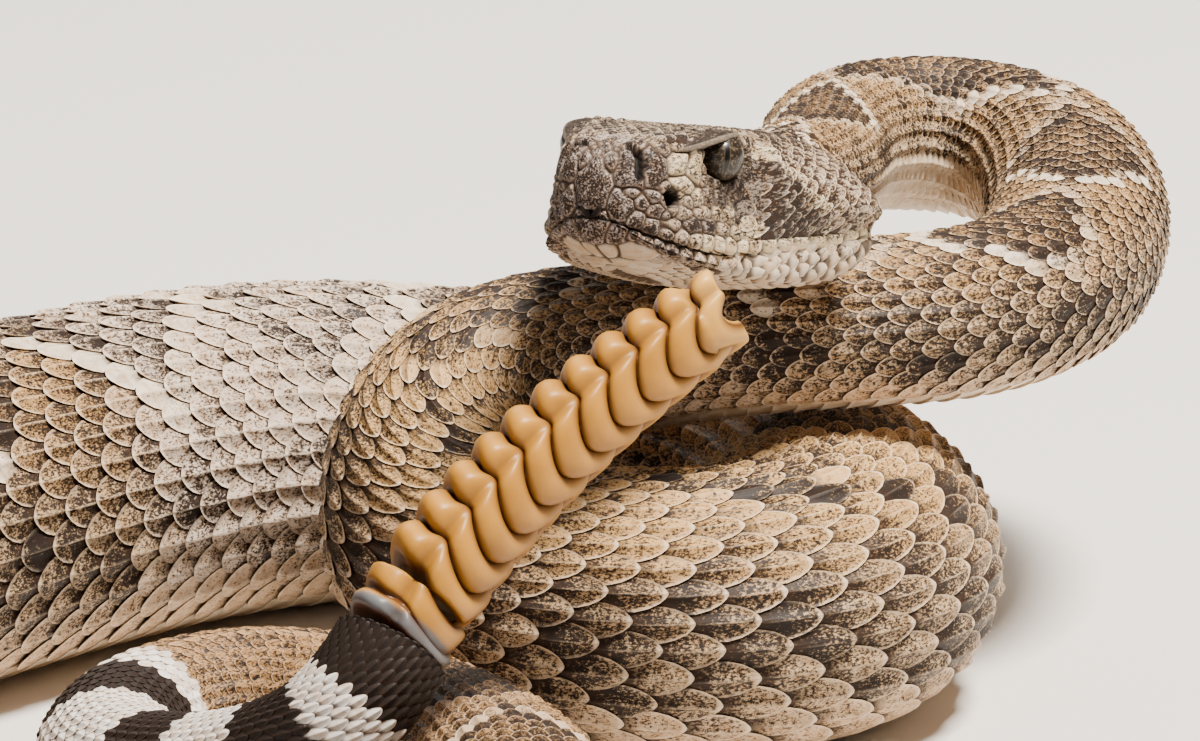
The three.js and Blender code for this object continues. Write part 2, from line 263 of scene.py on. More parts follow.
def head_rail(name, out=0.0, up=0.0):
    """A rail's points in the head's frame, moved out and up where the lips are."""
    half, high = (np.array(v, float) for v in HEAD_RAILS[name])
    fade = 1 - smooth(LIP_CORNER - 10, LIP_CORNER, RAIL_BACK)
    spread = np.minimum(1, half / 8)
    return np.stack([-RAIL_BACK, half + out * fade, high + up * spread], 1)


def head_rings(columns):
    """The head's rings at the rails' stations, each of that many columns, from the crown round."""
    left = [
        head_rail("crown"),
        head_rail("brow"),
        head_rail("cheek"),
        head_rail("mouth", LIP_OUT, LIP_APART),
        head_rail("mouth"),
        head_rail("mouth", LIP_OUT / 2, -LIP_APART),
        head_rail("jaw"),
        head_rail("chin"),
    ]
    right = [rail * (1, -1, 1) for rail in left[1:-1]]
    rails = np.array(left + right[::-1])
    at = np.arange(columns) / columns * RAILS_ROUND
    return catmull_rom(rails, at, closed=True).swapaxes(0, 1)


class Surface:
    """The skin as a grid of points, with places found by distance along and round the body."""

    COLUMNS = 384
    CAP_ROWS = 18
    HEAD_ROWS = ((0, 24, 0.2), (24, 47, 0.45), (47, 52, 1.0))  # from, to and step behind the snout
    NECK_BACKS = (50.2, 51.5)  # where the first two rings of the neck lie, behind the snout
    JOIN = NECK_START + 5.0  # where the body's own rings take over, along the route
    RING_STEP = 1.5
    FADE_ROWS = 30
    SHARE_STEPS = 400

    def __init__(self, route, head_inset, body_inset):
        self.route = route
        angles = np.arange(self.COLUMNS) / self.COLUMNS * 2 * math.pi
        head = head_to_world(head_rings(self.COLUMNS))
        neck = route.rings(np.array([NECK_START, self.JOIN, self.JOIN + 6.0]), angles, body_inset)
        control = np.concatenate([head, neck])
        fine = np.concatenate([np.arange(*stretch) for stretch in self.HEAD_ROWS])
        at = np.interp(fine, [*RAIL_BACK, *self.NECK_BACKS], np.arange(len(RAIL_BACK) + 2))
        at[-1] = len(RAIL_BACK) + 1 - 1e-6
        rows = self._shrink(catmull_rom(control, at), head_inset)
        rows[-1] = neck[1]
        rows = np.concatenate([self._front_cap(rows[0]), rows])
        body_s = np.append(np.arange(self.JOIN + self.RING_STEP, route.length, self.RING_STEP), route.length)
        self.points = np.concatenate([rows, route.rings(body_s, angles, body_inset)])
        self.head_rows = len(rows)
        back = head_local(rows.mean(1))[:, 0]
        self.neck_back = back[-1] - self.JOIN
        self.station = np.concatenate([back - self.neck_back, body_s])
        self.normals = self._find_normals(self.points)
        self._measure_round()

    def _front_cap(self, ring):
        """A low dome over the front of the snout, from its middle out to the first ring."""
        middle = ring.mean(0)
        forward = head_matrix()[:3, 0]
        reach = (np.arange(self.CAP_ROWS) + 0.35) / self.CAP_ROWS
        flat = middle + (ring - middle) * reach[:, None, None]
        return flat + forward * (CAP_DOME * (1 - reach**2))[:, None, None]

    def _shrink(self, rows, inset):
        """The rows sunk by the inset, less and less towards the last."""
        normals = self._find_normals(rows)
        fade = np.ones(len(rows))
        fade[-self.FADE_ROWS :] = np.linspace(1, 0, self.FADE_ROWS)
        return rows - normals * inset * fade[:, None, None]

    @staticmethod
    def _find_normals(points):
        along = np.gradient(points, axis=0)
        round_ = np.roll(points, -1, axis=1) - np.roll(points, 1, axis=1)
        return unit(np.cross(round_, along))

    def _measure_round(self):
        """How far round each column is from the crown, and columns by that distance."""
        half = self.COLUMNS // 2
        left = self.points[:, : half + 1]
        steps = np.linalg.norm(np.diff(left, axis=1), axis=2)
        reach = np.concatenate([np.zeros((len(left), 1)), np.cumsum(steps, axis=1)], axis=1)
        self.half_round = reach[:, -1]
        self.shares = reach / reach[:, -1:]
        grid = np.linspace(0, 1, self.SHARE_STEPS + 1)
        columns = [np.interp(grid, share, np.arange(half + 1)) for share in self.shares]
        self.columns_by_share = np.stack(columns)

    @staticmethod
    def _mix(table, row, column, wrap):
        """The table at fractional rows and columns."""
        r = np.clip(row, 0, len(table) - 1.001)
        r0 = r.astype(int)
        c0 = np.floor(column).astype(int)
        fr = (r - r0)[..., None] if table.ndim == 3 else r - r0
        fc = (column - c0)[..., None] if table.ndim == 3 else column - c0
        width = table.shape[1]
        if wrap:
            c1 = (c0 + 1) % width
            c0 = c0 % width
        else:
            c0 = np.clip(c0, 0, width - 1)
            c1 = np.clip(c0 + 1, 0, width - 1)
        low = table[r0, c0] * (1 - fc) + table[r0, c1] * fc
        high = table[r0 + 1, c0] * (1 - fc) + table[r0 + 1, c1] * fc
        return low * (1 - fr) + high * fr

    def row_at(self, station):
        return np.interp(station, self.station, np.arange(len(self.station)))

    def station_at(self, row):
        return np.interp(row, np.arange(len(self.station)), self.station)

    def half_at(self, row):
        """How far it is from the middle of the back round to the middle of the belly."""
        return np.interp(row, np.arange(len(self.half_round)), self.half_round)

    def row_behind(self, back):
        """The row at a distance behind the snout."""
        return self.row_at(np.asarray(back) - self.neck_back)

    def column_at(self, row, across):
        """The column at a signed distance across from the middle of the back, left being plus."""
        share = np.clip(np.abs(across) / self.half_at(row), 0, 2)
        over = share > 1
        share = np.where(over, 2 - share, share)
        sign = np.where(over, -1, 1) * np.where(across < 0, -1, 1)
        return sign * self._mix(self.columns_by_share, row, share * self.SHARE_STEPS, False)

    def place(self, row, across):
        """Points and normals at rows and signed distances across."""
        column = self.column_at(row, across)
        point = self._mix(self.points, row, column, True)
        return point, unit(self._mix(self.normals, row, column, True))

    def pace(self, row, across):
        """Millimetres from one row to the next there."""
        column = self.column_at(row, across)
        ahead = self._mix(self.points, row + 0.5, column, True)
        behind = self._mix(self.points, row - 0.5, column, True)
        return np.maximum(np.linalg.norm(ahead - behind, axis=-1), 0.05)


# Meshes


def to_metres(points):
    return (points - FOOTPRINT_MIDDLE) * MM


def new_mesh(name, points, faces, materials, uv=None, colours=None, vectors=None, floats=None):
    """An object from metres, faces as lists of loops, corner maps and point attributes."""
    mesh = bpy.data.meshes.new(name)
    mesh.vertices.add(len(points))
    mesh.vertices.foreach_set("co", np.ascontiguousarray(points, np.float32).ravel())
    loops = np.concatenate([np.asarray(f, np.int32).ravel() for f in faces])
    sizes = np.concatenate([np.full(len(f), np.asarray(f).shape[1], np.int32) for f in faces])
    starts = np.concatenate([[0], np.cumsum(sizes)[:-1]]).astype(np.int32)
    mesh.loops.add(len(loops))
    mesh.loops.foreach_set("vertex_index", loops)
    mesh.polygons.add(len(sizes))
    mesh.polygons.foreach_set("loop_start", starts)
    mesh.polygons.foreach_set("loop_total", sizes)
    mesh.polygons.foreach_set("use_smooth", np.ones(len(sizes), bool))
    if uv is not None:
        layer = mesh.uv_layers.new(name="OFBake", do_init=False)
        layer.data.foreach_set("uv", np.ascontiguousarray(uv[loops], np.float32).ravel())
    for key, values in (colours or {}).items():
        attribute = mesh.attributes.new(key, "FLOAT_COLOR", "POINT")
        full = np.ones((len(points), 4), np.float32)
        full[:, :3] = values
        attribute.data.foreach_set("color", full.ravel())
    for key, values in (vectors or {}).items():
        attribute = mesh.attributes.new(key, "FLOAT_VECTOR", "POINT")
        attribute.data.foreach_set("vector", np.ascontiguousarray(values, np.float32).ravel())
    for key, values in (floats or {}).items():
        attribute = mesh.attributes.new(key, "FLOAT", "POINT")
        attribute.data.foreach_set("value", np.asarray(values, np.float32).ravel())
    mesh.update(calc_edges=True)
    mesh.validate()
    for material in materials:
        mesh.materials.append(material)
    obj = bpy.data.objects.new(name, mesh)
    bpy.context.scene.collection.objects.link(obj)
    return obj


def grid_faces(rows, columns, wrap, start=0):
    """Quads of a grid of points, facing out for rings that run from the crown to the left."""
    i = np.arange(rows - 1)[:, None]
    j = np.arange(columns if wrap else columns - 1)[None, :]
    k = (j + 1) % columns
    quads = [i * columns + j, i * columns + k, (i + 1) * columns + k, (i + 1) * columns + j]
    return np.stack(np.broadcast_arrays(*quads), -1).reshape(-1, 4) + start


def tube_faces(rows, columns):
    """A grid wrapped into a tube, with a polygon over each end."""
    ring = np.arange(columns)
    return [grid_faces(rows, columns, True), ring[::-1][None], (ring + (rows - 1) * columns)[None]]


# Markings


def colour(name):
    """A colour of the snake, as its settings have it."""
    return np.array(getattr(bpy.context.scene.snake_colours, name)[:3])


def blend_in(base, other, amount):
    """The base colours with that amount of another laid over them."""
    amount = np.asarray(amount)[..., None]
    return base * (1 - amount) + np.asarray(other) * amount


# Where diamonds start along the body, and how many have gone before
DIAMOND_STATIONS = [-16, 20, 57, 103, 171, 310, 431, 463, 880]
DIAMOND_COUNTS = [-1, 0, 1, 2, 4, 8, 12, 13, 26]
# Stretches of the body: where a marking starts, is full, begins to fade and ends
GOLDEN_COIL = (205, 240, 366, 392)
GREY_COIL = (385, 402, 448, 462)
# a painted shadow, where the head's shadow falls on the body below it
HEAD_SHADOW_STRETCH = (185, 197, 222, 240)
PALE_LOOP = (20, 45, 105, 135)
# The row of dark spots over the front coil, with the turns of its line
FRONT_SPOTS = (278, 285, 291.5, 298, 305, 312.5, 320)
FRONT_LINE = [277, 291, 300, 313, 322]
FRONT_LINE_SHARES = [-0.02, 0.09, 0.16, 0.28, 0.3]
GOLDEN_TOP = (0.36, 0.2)  # shares of the way to the belly between which the gold fades in
SIDE_SPOT_SIZES = ((0.47, 0.34, 0.07, 0.3), (0.6, 0.3, 0.06, 0.25))  # share, length, height, fleck
FRONT_SPOT_SIZE = (3.2, 0.045)  # half its length in millimetres, and half its height as a share


def body_markings(station, share):
    """The tone and fleck of the body at a distance along it and a share of the way to the belly."""
    station = np.asarray(station, float)
    side = np.abs(share)
    golden = band(station, *GOLDEN_COIL)
    tone = blend_in(colour("ground"), colour("flank"), smooth(0.22, 0.5, side))
    fleck = 0.57 + 0.07 * smooth(0.2, 0.5, side)
    tone, fleck = diamonds(tone, fleck, station, side, golden)
    tone, fleck = front_coil(tone, fleck, station, share, golden * smooth(*GOLDEN_TOP, side))
    tone, fleck = belly(tone, fleck, station, side)
    return tail_markings(tone, fleck, station)


def diamonds(tone, fleck, station, side, golden):
    """Dark-edged diamonds with white scales round them, and dark spots between them on the sides."""
    deep = bpy.context.scene.snake_markings.diamond_reach * (1 - 0.45 * golden)
    beat = np.interp(station, DIAMOND_STATIONS, DIAMOND_COUNTS)
    phase = beat - np.floor(beat)
    off = np.abs(phase - 0.5) * 2
    diamond = off + side / deep
    border = band(diamond, 0.84, 0.93, 1.05, 1.14) * np.where(phase > 0.5, 1.0, 0.45)
    border = border * smooth(deep + 0.05, deep - 0.05, side) * (1 - 0.55 * golden)
    dark = band(diamond, 0.5, 0.7, 0.9, 1.0)
    inside = smooth(0.95, 0.8, diamond)
    grey = band(station, *GREY_COIL)
    tone = blend_in(tone, colour("diamond"), inside * (0.8 - 0.6 * grey))
    tone = blend_in(tone, colour("grey_flank"), grey * 0.8)
    fleck = fleck - 0.14 * grey
    fleck = fleck + inside * 0.1 + dark * 0.22
    tone = blend_in(tone, colour("pale_edge"), border)
    fleck = fleck * (1 - 0.58 * border)
    for (across, wide, tall, darker), along in zip(SIDE_SPOT_SIZES, (off, 1 - off)):
        spot = smooth(1.15, 0.6, np.hypot(along / wide, (side - across) / tall))
        fleck = fleck + spot * darker
    return tone, fleck


def front_coil(tone, fleck, station, share, golden):
    """The golden top of the front coil, its row of spots, and a painted shadow of the head in the bend above.
    """
    tone = blend_in(tone, colour("golden"), golden * 0.8)
    fleck = fleck - 0.08 * golden
    # painted shadow of the head, darkening the tone there
    shaded = band(station, *HEAD_SHADOW_STRETCH) * smooth(0.16, 0.12, np.abs(share + 0.25))
    tone = blend_in(tone, colour("fleck"), shaded * 0.45)
    for at in FRONT_SPOTS:
        across = share - np.interp(at, FRONT_LINE, FRONT_LINE_SHARES)
        gap = np.hypot((station - at) / FRONT_SPOT_SIZE[0], across / FRONT_SPOT_SIZE[1])
        fleck = np.maximum(fleck, 0.97 * smooth(1.2, 0.7, gap))
    return tone, fleck


def belly(tone, fleck, station, side):
    """Plainer lowest rows and a pale belly, which shows higher up on the raised loop."""
    low = smooth(0.56, 0.72, side)
    under = smooth(0.76, 0.82, side)
    loop = band(station, *PALE_LOOP) * smooth(0.45, 0.6, side)
    tone = blend_in(tone, colour("low_side"), low)
    tone = blend_in(tone, colour("belly"), under)
    tone = blend_in(tone, colour("belly"), loop * 0.8)
    return tone, fleck * (1 - 0.35 * low) * (1 - 0.8 * under) * (1 - 0.7 * loop)


TAIL_TAN = (810, 860)  # where the tan sets in, and where it is full
TAIL_WHITE = (915.5, 917)  # and the white
# Where each black ring of the tail starts and stops
TAIL_BLACKS = ((921.5, 931.5), (947.5, 957.5), (970.0, 978.5), (985.0, 1010.0))


def tail_markings(tone, fleck, station):
    """Tan, then black and white rings, over the last stretch of the body."""
    tan = smooth(*TAIL_TAN, station)
    tone = blend_in(tone, colour("tail_tan"), tan * 0.8)
    fleck = fleck * (1 - 0.05 * tan)
    white = smooth(*TAIL_WHITE, station)
    tone = blend_in(tone, colour("tail_white"), white)
    fleck = fleck * (1 - 0.9 * white)
    for start, stop in TAIL_BLACKS:
        black = band(station, start - 0.5, start + 0.1, stop - 0.1, stop + 0.5)
        tone = blend_in(tone, colour("tail_black"), black)
        fleck = fleck * (1 - black) + black * 1.3
    return tone, fleck


# Scales as thin closed plates


class Plate:
    """A closed plate's grid of points as shares of length and half width, and its faces."""

    def __init__(self, along, across):
        self.a, self.b = (v.ravel() for v in np.meshgrid(np.array(along), np.array(across), indexing="ij"))
        rows, columns = len(along), len(across)
        index = np.arange(rows * columns).reshape(rows, columns)
        sides = [index[:, 0], index[-1, 1:-1], index[::-1, -1], index[0, -2:0:-1]]
        self.rim = np.concatenate(sides)
        self.low = np.arange(len(self.rim)) + rows * columns
        after = np.roll(np.arange(len(self.rim)), -1)
        self.top = grid_faces(rows, columns, False)
        self.skirt = np.stack([self.rim[after], self.rim, self.low, self.low[after]], 1)
        self.size = rows * columns + len(self.rim)

    def both(self, values):
        """Values of the top points, repeated for the points under the rim."""
        return np.concatenate([values, values[:, self.rim]], 1)

    def faces(self, count):
        shift = (np.arange(count) * self.size)[:, None, None]
        return [
            (self.top[None] + shift).reshape(-1, 4),
            (self.skirt[None] + shift).reshape(-1, 4),
            (self.low[::-1][None, None] + shift).reshape(count, -1),
        ]


BODY_PLATE = Plate([0, 0.2, 0.42, 0.6, 0.76, 0.89, 0.965, 1], [-1, -0.7, -0.15, 0, 0.15, 0.7, 1])
HEAD_PLATE = Plate([0, 0.3, 0.55, 0.78, 0.93, 1], [-1, -0.62, 0, 0.62, 1])
SCUTE_PLATE = Plate([0, 0.25, 0.6, 0.85, 0.97, 1.0], np.linspace(-1, 1, 25))
KEEL_HALF_WIDTH = 0.13  # as a share of the scale's own
KEEL_SHOWN = 0.6  # a keel as high as this gets a full painted highlight along its ridge
UNDERCUT = 0.06  # how far a scale's lower rim is drawn in towards its middle, as a share


def scale_outline(a, widest=0.48):
    """Half width of a scale at a share of its length, as a share of its greatest half width."""
    front = 0.55 + 0.45 * np.sin(math.pi / 2 * np.clip(a / widest, 0, 1))
    tip = (1 - np.clip((a - widest) / (1 - widest), 0, 1) ** 1.9) ** 0.62
    return np.where(a < widest, front, np.maximum(tip, 0.07))


def build_scales(name, surface, roots, material, plate):
    """Every scale of roots as a plate on the surface, in one object.

    roots holds an array for each of row, across, length, width, lift, keel, dome, thick, tone,
    fleck, pale, seed and cover, which is 1 where the scale ahead lies over this one's root.
    """
    a, b = plate.a, plate.b
    n = len(roots["row"])
    col = lambda key: roots[key][:, None]
    pace = surface.pace(roots["row"], roots["across"])
    half = scale_outline(a)[None, :] * col("width") / 2
    row = col("row") + a[None, :] * col("length") / pace[:, None]
    across = col("across") + b[None, :] * half
    point, normal = surface.place(row, across)
    off, share = b[None, :], a[None, :]
    rise = col("lift") * (0.1 + 0.9 * share**1.25)
    crown = col("dome") * (1 - off**2) * smooth(0, 0.25, share) * smooth(1.05, 0.7, share)
    ridge = np.exp(-((off / KEEL_HALF_WIDTH) ** 2))
    keel = col("keel") * ridge * smooth(0.02, 0.25, share) * smooth(1.0, 0.82, share)
    height = rise + crown + keel
    upper = point + normal * height[..., None]
    lower = (point + normal * (height - col("thick"))[..., None])[:, plate.rim]
    lower = lower + (upper.mean(1, keepdims=True) - lower) * UNDERCUT
    points = np.concatenate([upper, lower], 1)
    points[..., 2] = np.maximum(points[..., 2], FLOOR_CLEARANCE)
    flat = lambda values: np.broadcast_to(values, (n, len(a)))
    edge = np.maximum(0.7 * np.abs(off) ** 6 * smooth(0.4, 0.7, share), smooth(0.88, 1.0, share))
    # painted highlight along the keel's ridge
    edge = np.maximum(edge, 0.5 * np.exp(-((off / 0.1) ** 2)) * keel / KEEL_SHOWN)
    grain = np.stack([flat(share * col("length")), off * half, flat(col("seed"))], -1)
    # root runs from 1 at the root to 0 at the tip: flecks gather there, and painted shade falls on it where
    # cover is 1
    cover = np.concatenate([(1 - share) * col("cover"), np.tile(col("cover"), len(plate.rim))], 1)
    obj = new_mesh(
        name,
        to_metres(points.reshape(-1, 3)),
        plate.faces(n),
        [material],
        uv=patch_map(surface, roots["row"], roots["across"], *map(plate.both, (flat(share), flat(off)))),
        colours={"tone": np.repeat(roots["tone"], plate.size, axis=0)},
        vectors={"grain": plate.both(grain).reshape(-1, 3)},
        floats={
            "edge": plate.both(flat(edge)).ravel(),
            "root": cover.ravel(),
            "fleck": np.repeat(roots["fleck"], plate.size),
            "pale": np.repeat(roots["pale"], plate.size),
        },
    )
    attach(obj, "root")


PATCH = 0.003  # size of a scale's own patch on the map
BAKE_BANDS = 4  # the skin is unrolled in this many bands, one above the other


def patch_map(surface, row, across, a, b):
    """Each scale as a small patch at its root's place on the skin unrolled in a few bands."""
    station = surface.station_at(row)
    share = (station - surface.station[0]) / (surface.station[-1] - surface.station[0])
    strip = np.clip(np.floor(share * BAKE_BANDS), 0, BAKE_BANDS - 1)
    u = (share * BAKE_BANDS - strip) * 0.98 + 0.01
    v = (strip + 0.5 + 0.46 * across / surface.half_at(row)) / BAKE_BANDS
    patch_u = u[:, None] + (a - 0.5) * PATCH
    patch_v = v[:, None] + b * PATCH / 2
    return np.stack([patch_u, patch_v], -1).reshape(-1, 2)


# Materials


def plug(tree, socket, value):
    """Join a socket to another one, or set it to a value."""
    if isinstance(value, bpy.types.NodeSocket):
        tree.links.new(value, socket)
    elif socket.type == "RGBA":
        socket.default_value = (*value[:3], 1)
    else:
        socket.default_value = value


def node(tree, kind, label, **inputs):
    """A shader node, with the sockets of those names set or joined."""
    made = tree.nodes.new(kind)
    made.label = label
    for key, value in inputs.items():
        plug(tree, made.inputs[key], value)
    return made


def attribute(tree, name, output="Fac"):
    """What the mesh holds under that name."""
    made = tree.nodes.new("ShaderNodeAttribute")
    made.attribute_name = name
    return made.outputs[output]


def noise(tree, label, **inputs):
    """Fractal noise from 0 to 1."""
    return node(tree, "ShaderNodeTexNoise", label, **inputs).outputs["Fac"]


def ramp(tree, label, value, low, high):
    """A smooth step from 0 at low to 1 at high."""
    made = node(tree, "ShaderNodeMapRange", label, Value=value, **{"From Min": low, "From Max": high})
    made.interpolation_type = "SMOOTHSTEP"
    return made.outputs["Result"]


def mix_colour(tree, label, amount, first, second):
    """The first colour with that amount of the second over it."""
    made = tree.nodes.new("ShaderNodeMix")
    made.data_type = "RGBA"
    made.label = label
    sockets = {socket.identifier: socket for socket in made.inputs}
    plug(tree, sockets["Factor_Float"], amount)
    plug(tree, sockets["A_Color"], first)
    plug(tree, sockets["B_Color"], second)
    return next(socket for socket in made.outputs if socket.identifier == "Result_Color")


def arithmetic(tree, label, operation, *values):
    made = tree.nodes.new("ShaderNodeMath")
    made.operation = operation
    made.label = label
    for socket, value in zip(made.inputs, values):
        plug(tree, socket, value)
    return made.outputs[0]


def times(tree, label, first, second):
    return arithmetic(tree, label, "MULTIPLY", first, second)


def new_material(name):
    material = bpy.data.materials.new(name)
    material.use_nodes = True
    tree = material.node_tree
    return material, tree, tree.nodes["Principled BSDF"]


def set_finish(shader, **values):
    """Values on the shader's own sockets, with their names joined by underscores."""
    for key, value in values.items():
        shader.inputs[key.replace("_", " ")].default_value = value


def add_relief(tree, shader, place, scale, detail, strength, distance):
    """A fine grain in the surface."""
    grain = noise(tree, "grain", Vector=place, Scale=scale, Detail=detail)
    bump = node(tree, "ShaderNodeBump", "relief", Height=grain, Strength=strength, Distance=distance)
    tree.links.new(bump.outputs["Normal"], shader.inputs["Normal"])


def flecked_colour(tree, fineness=3.4):
    """The shared colouring of scales and skin: a tone under dark flecks, with pale rims."""
    grain = attribute(tree, "grain", "Vector")
    tone = attribute(tree, "tone", "Color")
    stretched = tree.nodes.new("ShaderNodeVectorMath")
    stretched.label = "along the scale"
    stretched.operation = "MULTIPLY"
    plug(tree, stretched.inputs[0], grain)
    plug(tree, stretched.inputs[1], (0.62, 1.0, 1.0))
    streaks = stretched.outputs["Vector"]
    fine = noise(tree, "flecks", Vector=streaks, Scale=fineness, Detail=6.0, Roughness=0.74)
    broad = noise(tree, "clouding", Vector=grain, Scale=0.7, Detail=2.0)
    shade = ramp(tree, "cloud edge", broad, 0.38, 0.66)
    warm = mix_colour(tree, "clouded", times(tree, "some", shade, 0.45), tone, colour("cloud"))
    edge = ramp(tree, "rim edge", attribute(tree, "edge"), 0.15, 0.85)
    bare = times(tree, "bare rim", edge, attribute(tree, "pale"))
    kept = arithmetic(tree, "off the rim", "SUBTRACT", 1.0, bare)
    rooted = arithmetic(tree, "more at the root", "MULTIPLY_ADD", attribute(tree, "root"), 0.5, 0.8)
    patchy = arithmetic(tree, "patchy", "MULTIPLY_ADD", broad, 0.9, 0.55)
    own = times(tree, "own cover", attribute(tree, "fleck"), kept)
    cover = times(tree, "cover", own, times(tree, "spread", rooted, patchy))
    limit = arithmetic(tree, "limit", "MULTIPLY_ADD", cover, -0.42, 0.72)
    over = arithmetic(tree, "over limit", "SUBTRACT", fine, limit)
    dark = mix_colour(tree, "flecked", ramp(tree, "fleck edge", over, -0.07, 0.065), warm, colour("fleck"))
    return mix_colour(tree, "rimmed", times(tree, "rim amount", bare, 0.75), dark, colour("rim")), grain


def finish_scales(tree, shader, shown, grain, roughness):
    """Base colour, a fine relief and a soft waxy gloss."""
    tree.links.new(shown, shader.inputs["Base Color"])
    add_relief(tree, shader, grain, 4.5, 3.0, 0.35, 0.00012)
    set_finish(shader, Roughness=roughness, Specular_IOR_Level=0.12)


def scale_material(name, roughness=0.5, shaded=(0.52, 0.82)):
    """A scale: flecked tone, pale rim, and painted shade over its root where its neighbours cover it."""
    material, tree, shader = new_material(name)
    rimmed, grain = flecked_colour(tree)
    # painted shade over the root, where the scale ahead covers it
    tucked = ramp(tree, "tucked in", attribute(tree, "root"), *shaded)
    root_shade = times(tree, "root_shade", tucked, 0.85)
    final = mix_colour(tree, "shaded root", root_shade, rimmed, colour("crease_shade"))
    finish_scales(tree, shader, final, grain, roughness)
    return material


def skin_material(name):
    """The skin itself, with the head's shields, and painted shade in the creases between them and inside the
    head's openings.
    """
    material, tree, shader = new_material(name)
    rimmed, grain = flecked_colour(tree, 3.8)
    # painted shade in the creases, then inside the openings
    final = mix_colour(tree, "creased", attribute(tree, "crease"), rimmed, colour("crease_shade"))
    final = mix_colour(tree, "hollows", attribute(tree, "hollow"), final, colour("hollow"))
    finish_scales(tree, shader, final, grain, 0.5)
    return material


def horn_material(name):
    """Dry translucent horn with darker random clouding, and painted shade in its grooves."""
    material, tree, shader = new_material(name)
    place = tree.nodes.new("ShaderNodeTexCoord").outputs["Object"]
    broad = noise(tree, "clouding", Vector=place, Scale=160.0, Detail=3.0)
    shade = times(tree, "some", ramp(tree, "cloud edge", broad, 0.3, 0.75), 0.3)
    clouded = mix_colour(tree, "clouded", shade, attribute(tree, "tone", "Color"), colour("horn_cloud_and_shade"))
    # painted shade in the seams and grooves, at the rings' lower ends and on the underside
    final = mix_colour(tree, "grooved", attribute(tree, "edge"), clouded, colour("horn_cloud_and_shade"))
    tree.links.new(final, shader.inputs["Base Color"])
    add_relief(tree, shader, place, 900.0, 4.0, 0.2, 0.0002)
    set_finish(shader, Roughness=0.42, Specular_IOR_Level=0.28)
    set_finish(shader, Subsurface_Weight=0.04, Subsurface_Scale=1.0)
    set_finish(shader, Subsurface_Radius=(0.004, 0.002, 0.0008))
    return material


def eye_material(name):
    """A dark iris flecked with gold, paler round an upright slit, under a clear gloss."""
    material, tree, shader = new_material(name)
    across = attribute(tree, "across")
    up = attribute(tree, "up")
    gap = arithmetic(tree, "from slit", "ABSOLUTE", across)
    bow = times(tree, "bow", times(tree, "up squared", up, up), 0.14)
    slit = arithmetic(tree, "slit", "ADD", gap, bow)
    pupil = ramp(tree, "pupil", slit, 0.12, 0.085)
    place = tree.nodes.new("ShaderNodeTexCoord").outputs["Object"]
    fine = noise(tree, "iris flecks", Vector=place, Scale=2400.0, Detail=4.0, Roughness=0.7)
    iris = mix_colour(tree, "iris", ramp(tree, "gold", fine, 0.5, 0.7), colour("iris"), colour("iris_gold"))
    ring = times(tree, "some", ramp(tree, "pupil rim", slit, 0.2, 0.12), 0.22)
    lit = mix_colour(tree, "round the pupil", ring, iris, colour("iris_gold"))
    final = mix_colour(tree, "pupil in iris", pupil, lit, PUPIL)
    tree.links.new(final, shader.inputs["Base Color"])
    set_finish(shader, Roughness=0.35, Specular_IOR_Level=0.2, Coat_Weight=0.35, Coat_Roughness=0.1)
    return material


# Head plates


def head_local(points):
    """Back from the snout, to the left, and up, in the head's own frame."""
    local = world_to_head(points)
    local[..., 0] *= -1
    return local


def mouth_height(back):
    """How high the line of the mouth is there."""
    return np.interp(back, RAIL_BACK, HEAD_RAILS["mouth"][1])


def mouth_half(back):
    """Half the width of the head at the mouth there."""
    return np.interp(back, RAIL_BACK, HEAD_RAILS["mouth"][0])


# Shields of the head: the middle of each, then how far it reaches back, to the side and up.
# On the midline there are the shield at the tip of the snout and the one below the mouth.
MIDDLE_SHIELDS = [
    ((-0.3, 0.0, 3.0), (2.6, 2.05, 3.8)),
    ((0.2, 0.0, -1.8), (2.2, 2.6, 2.3)),
]
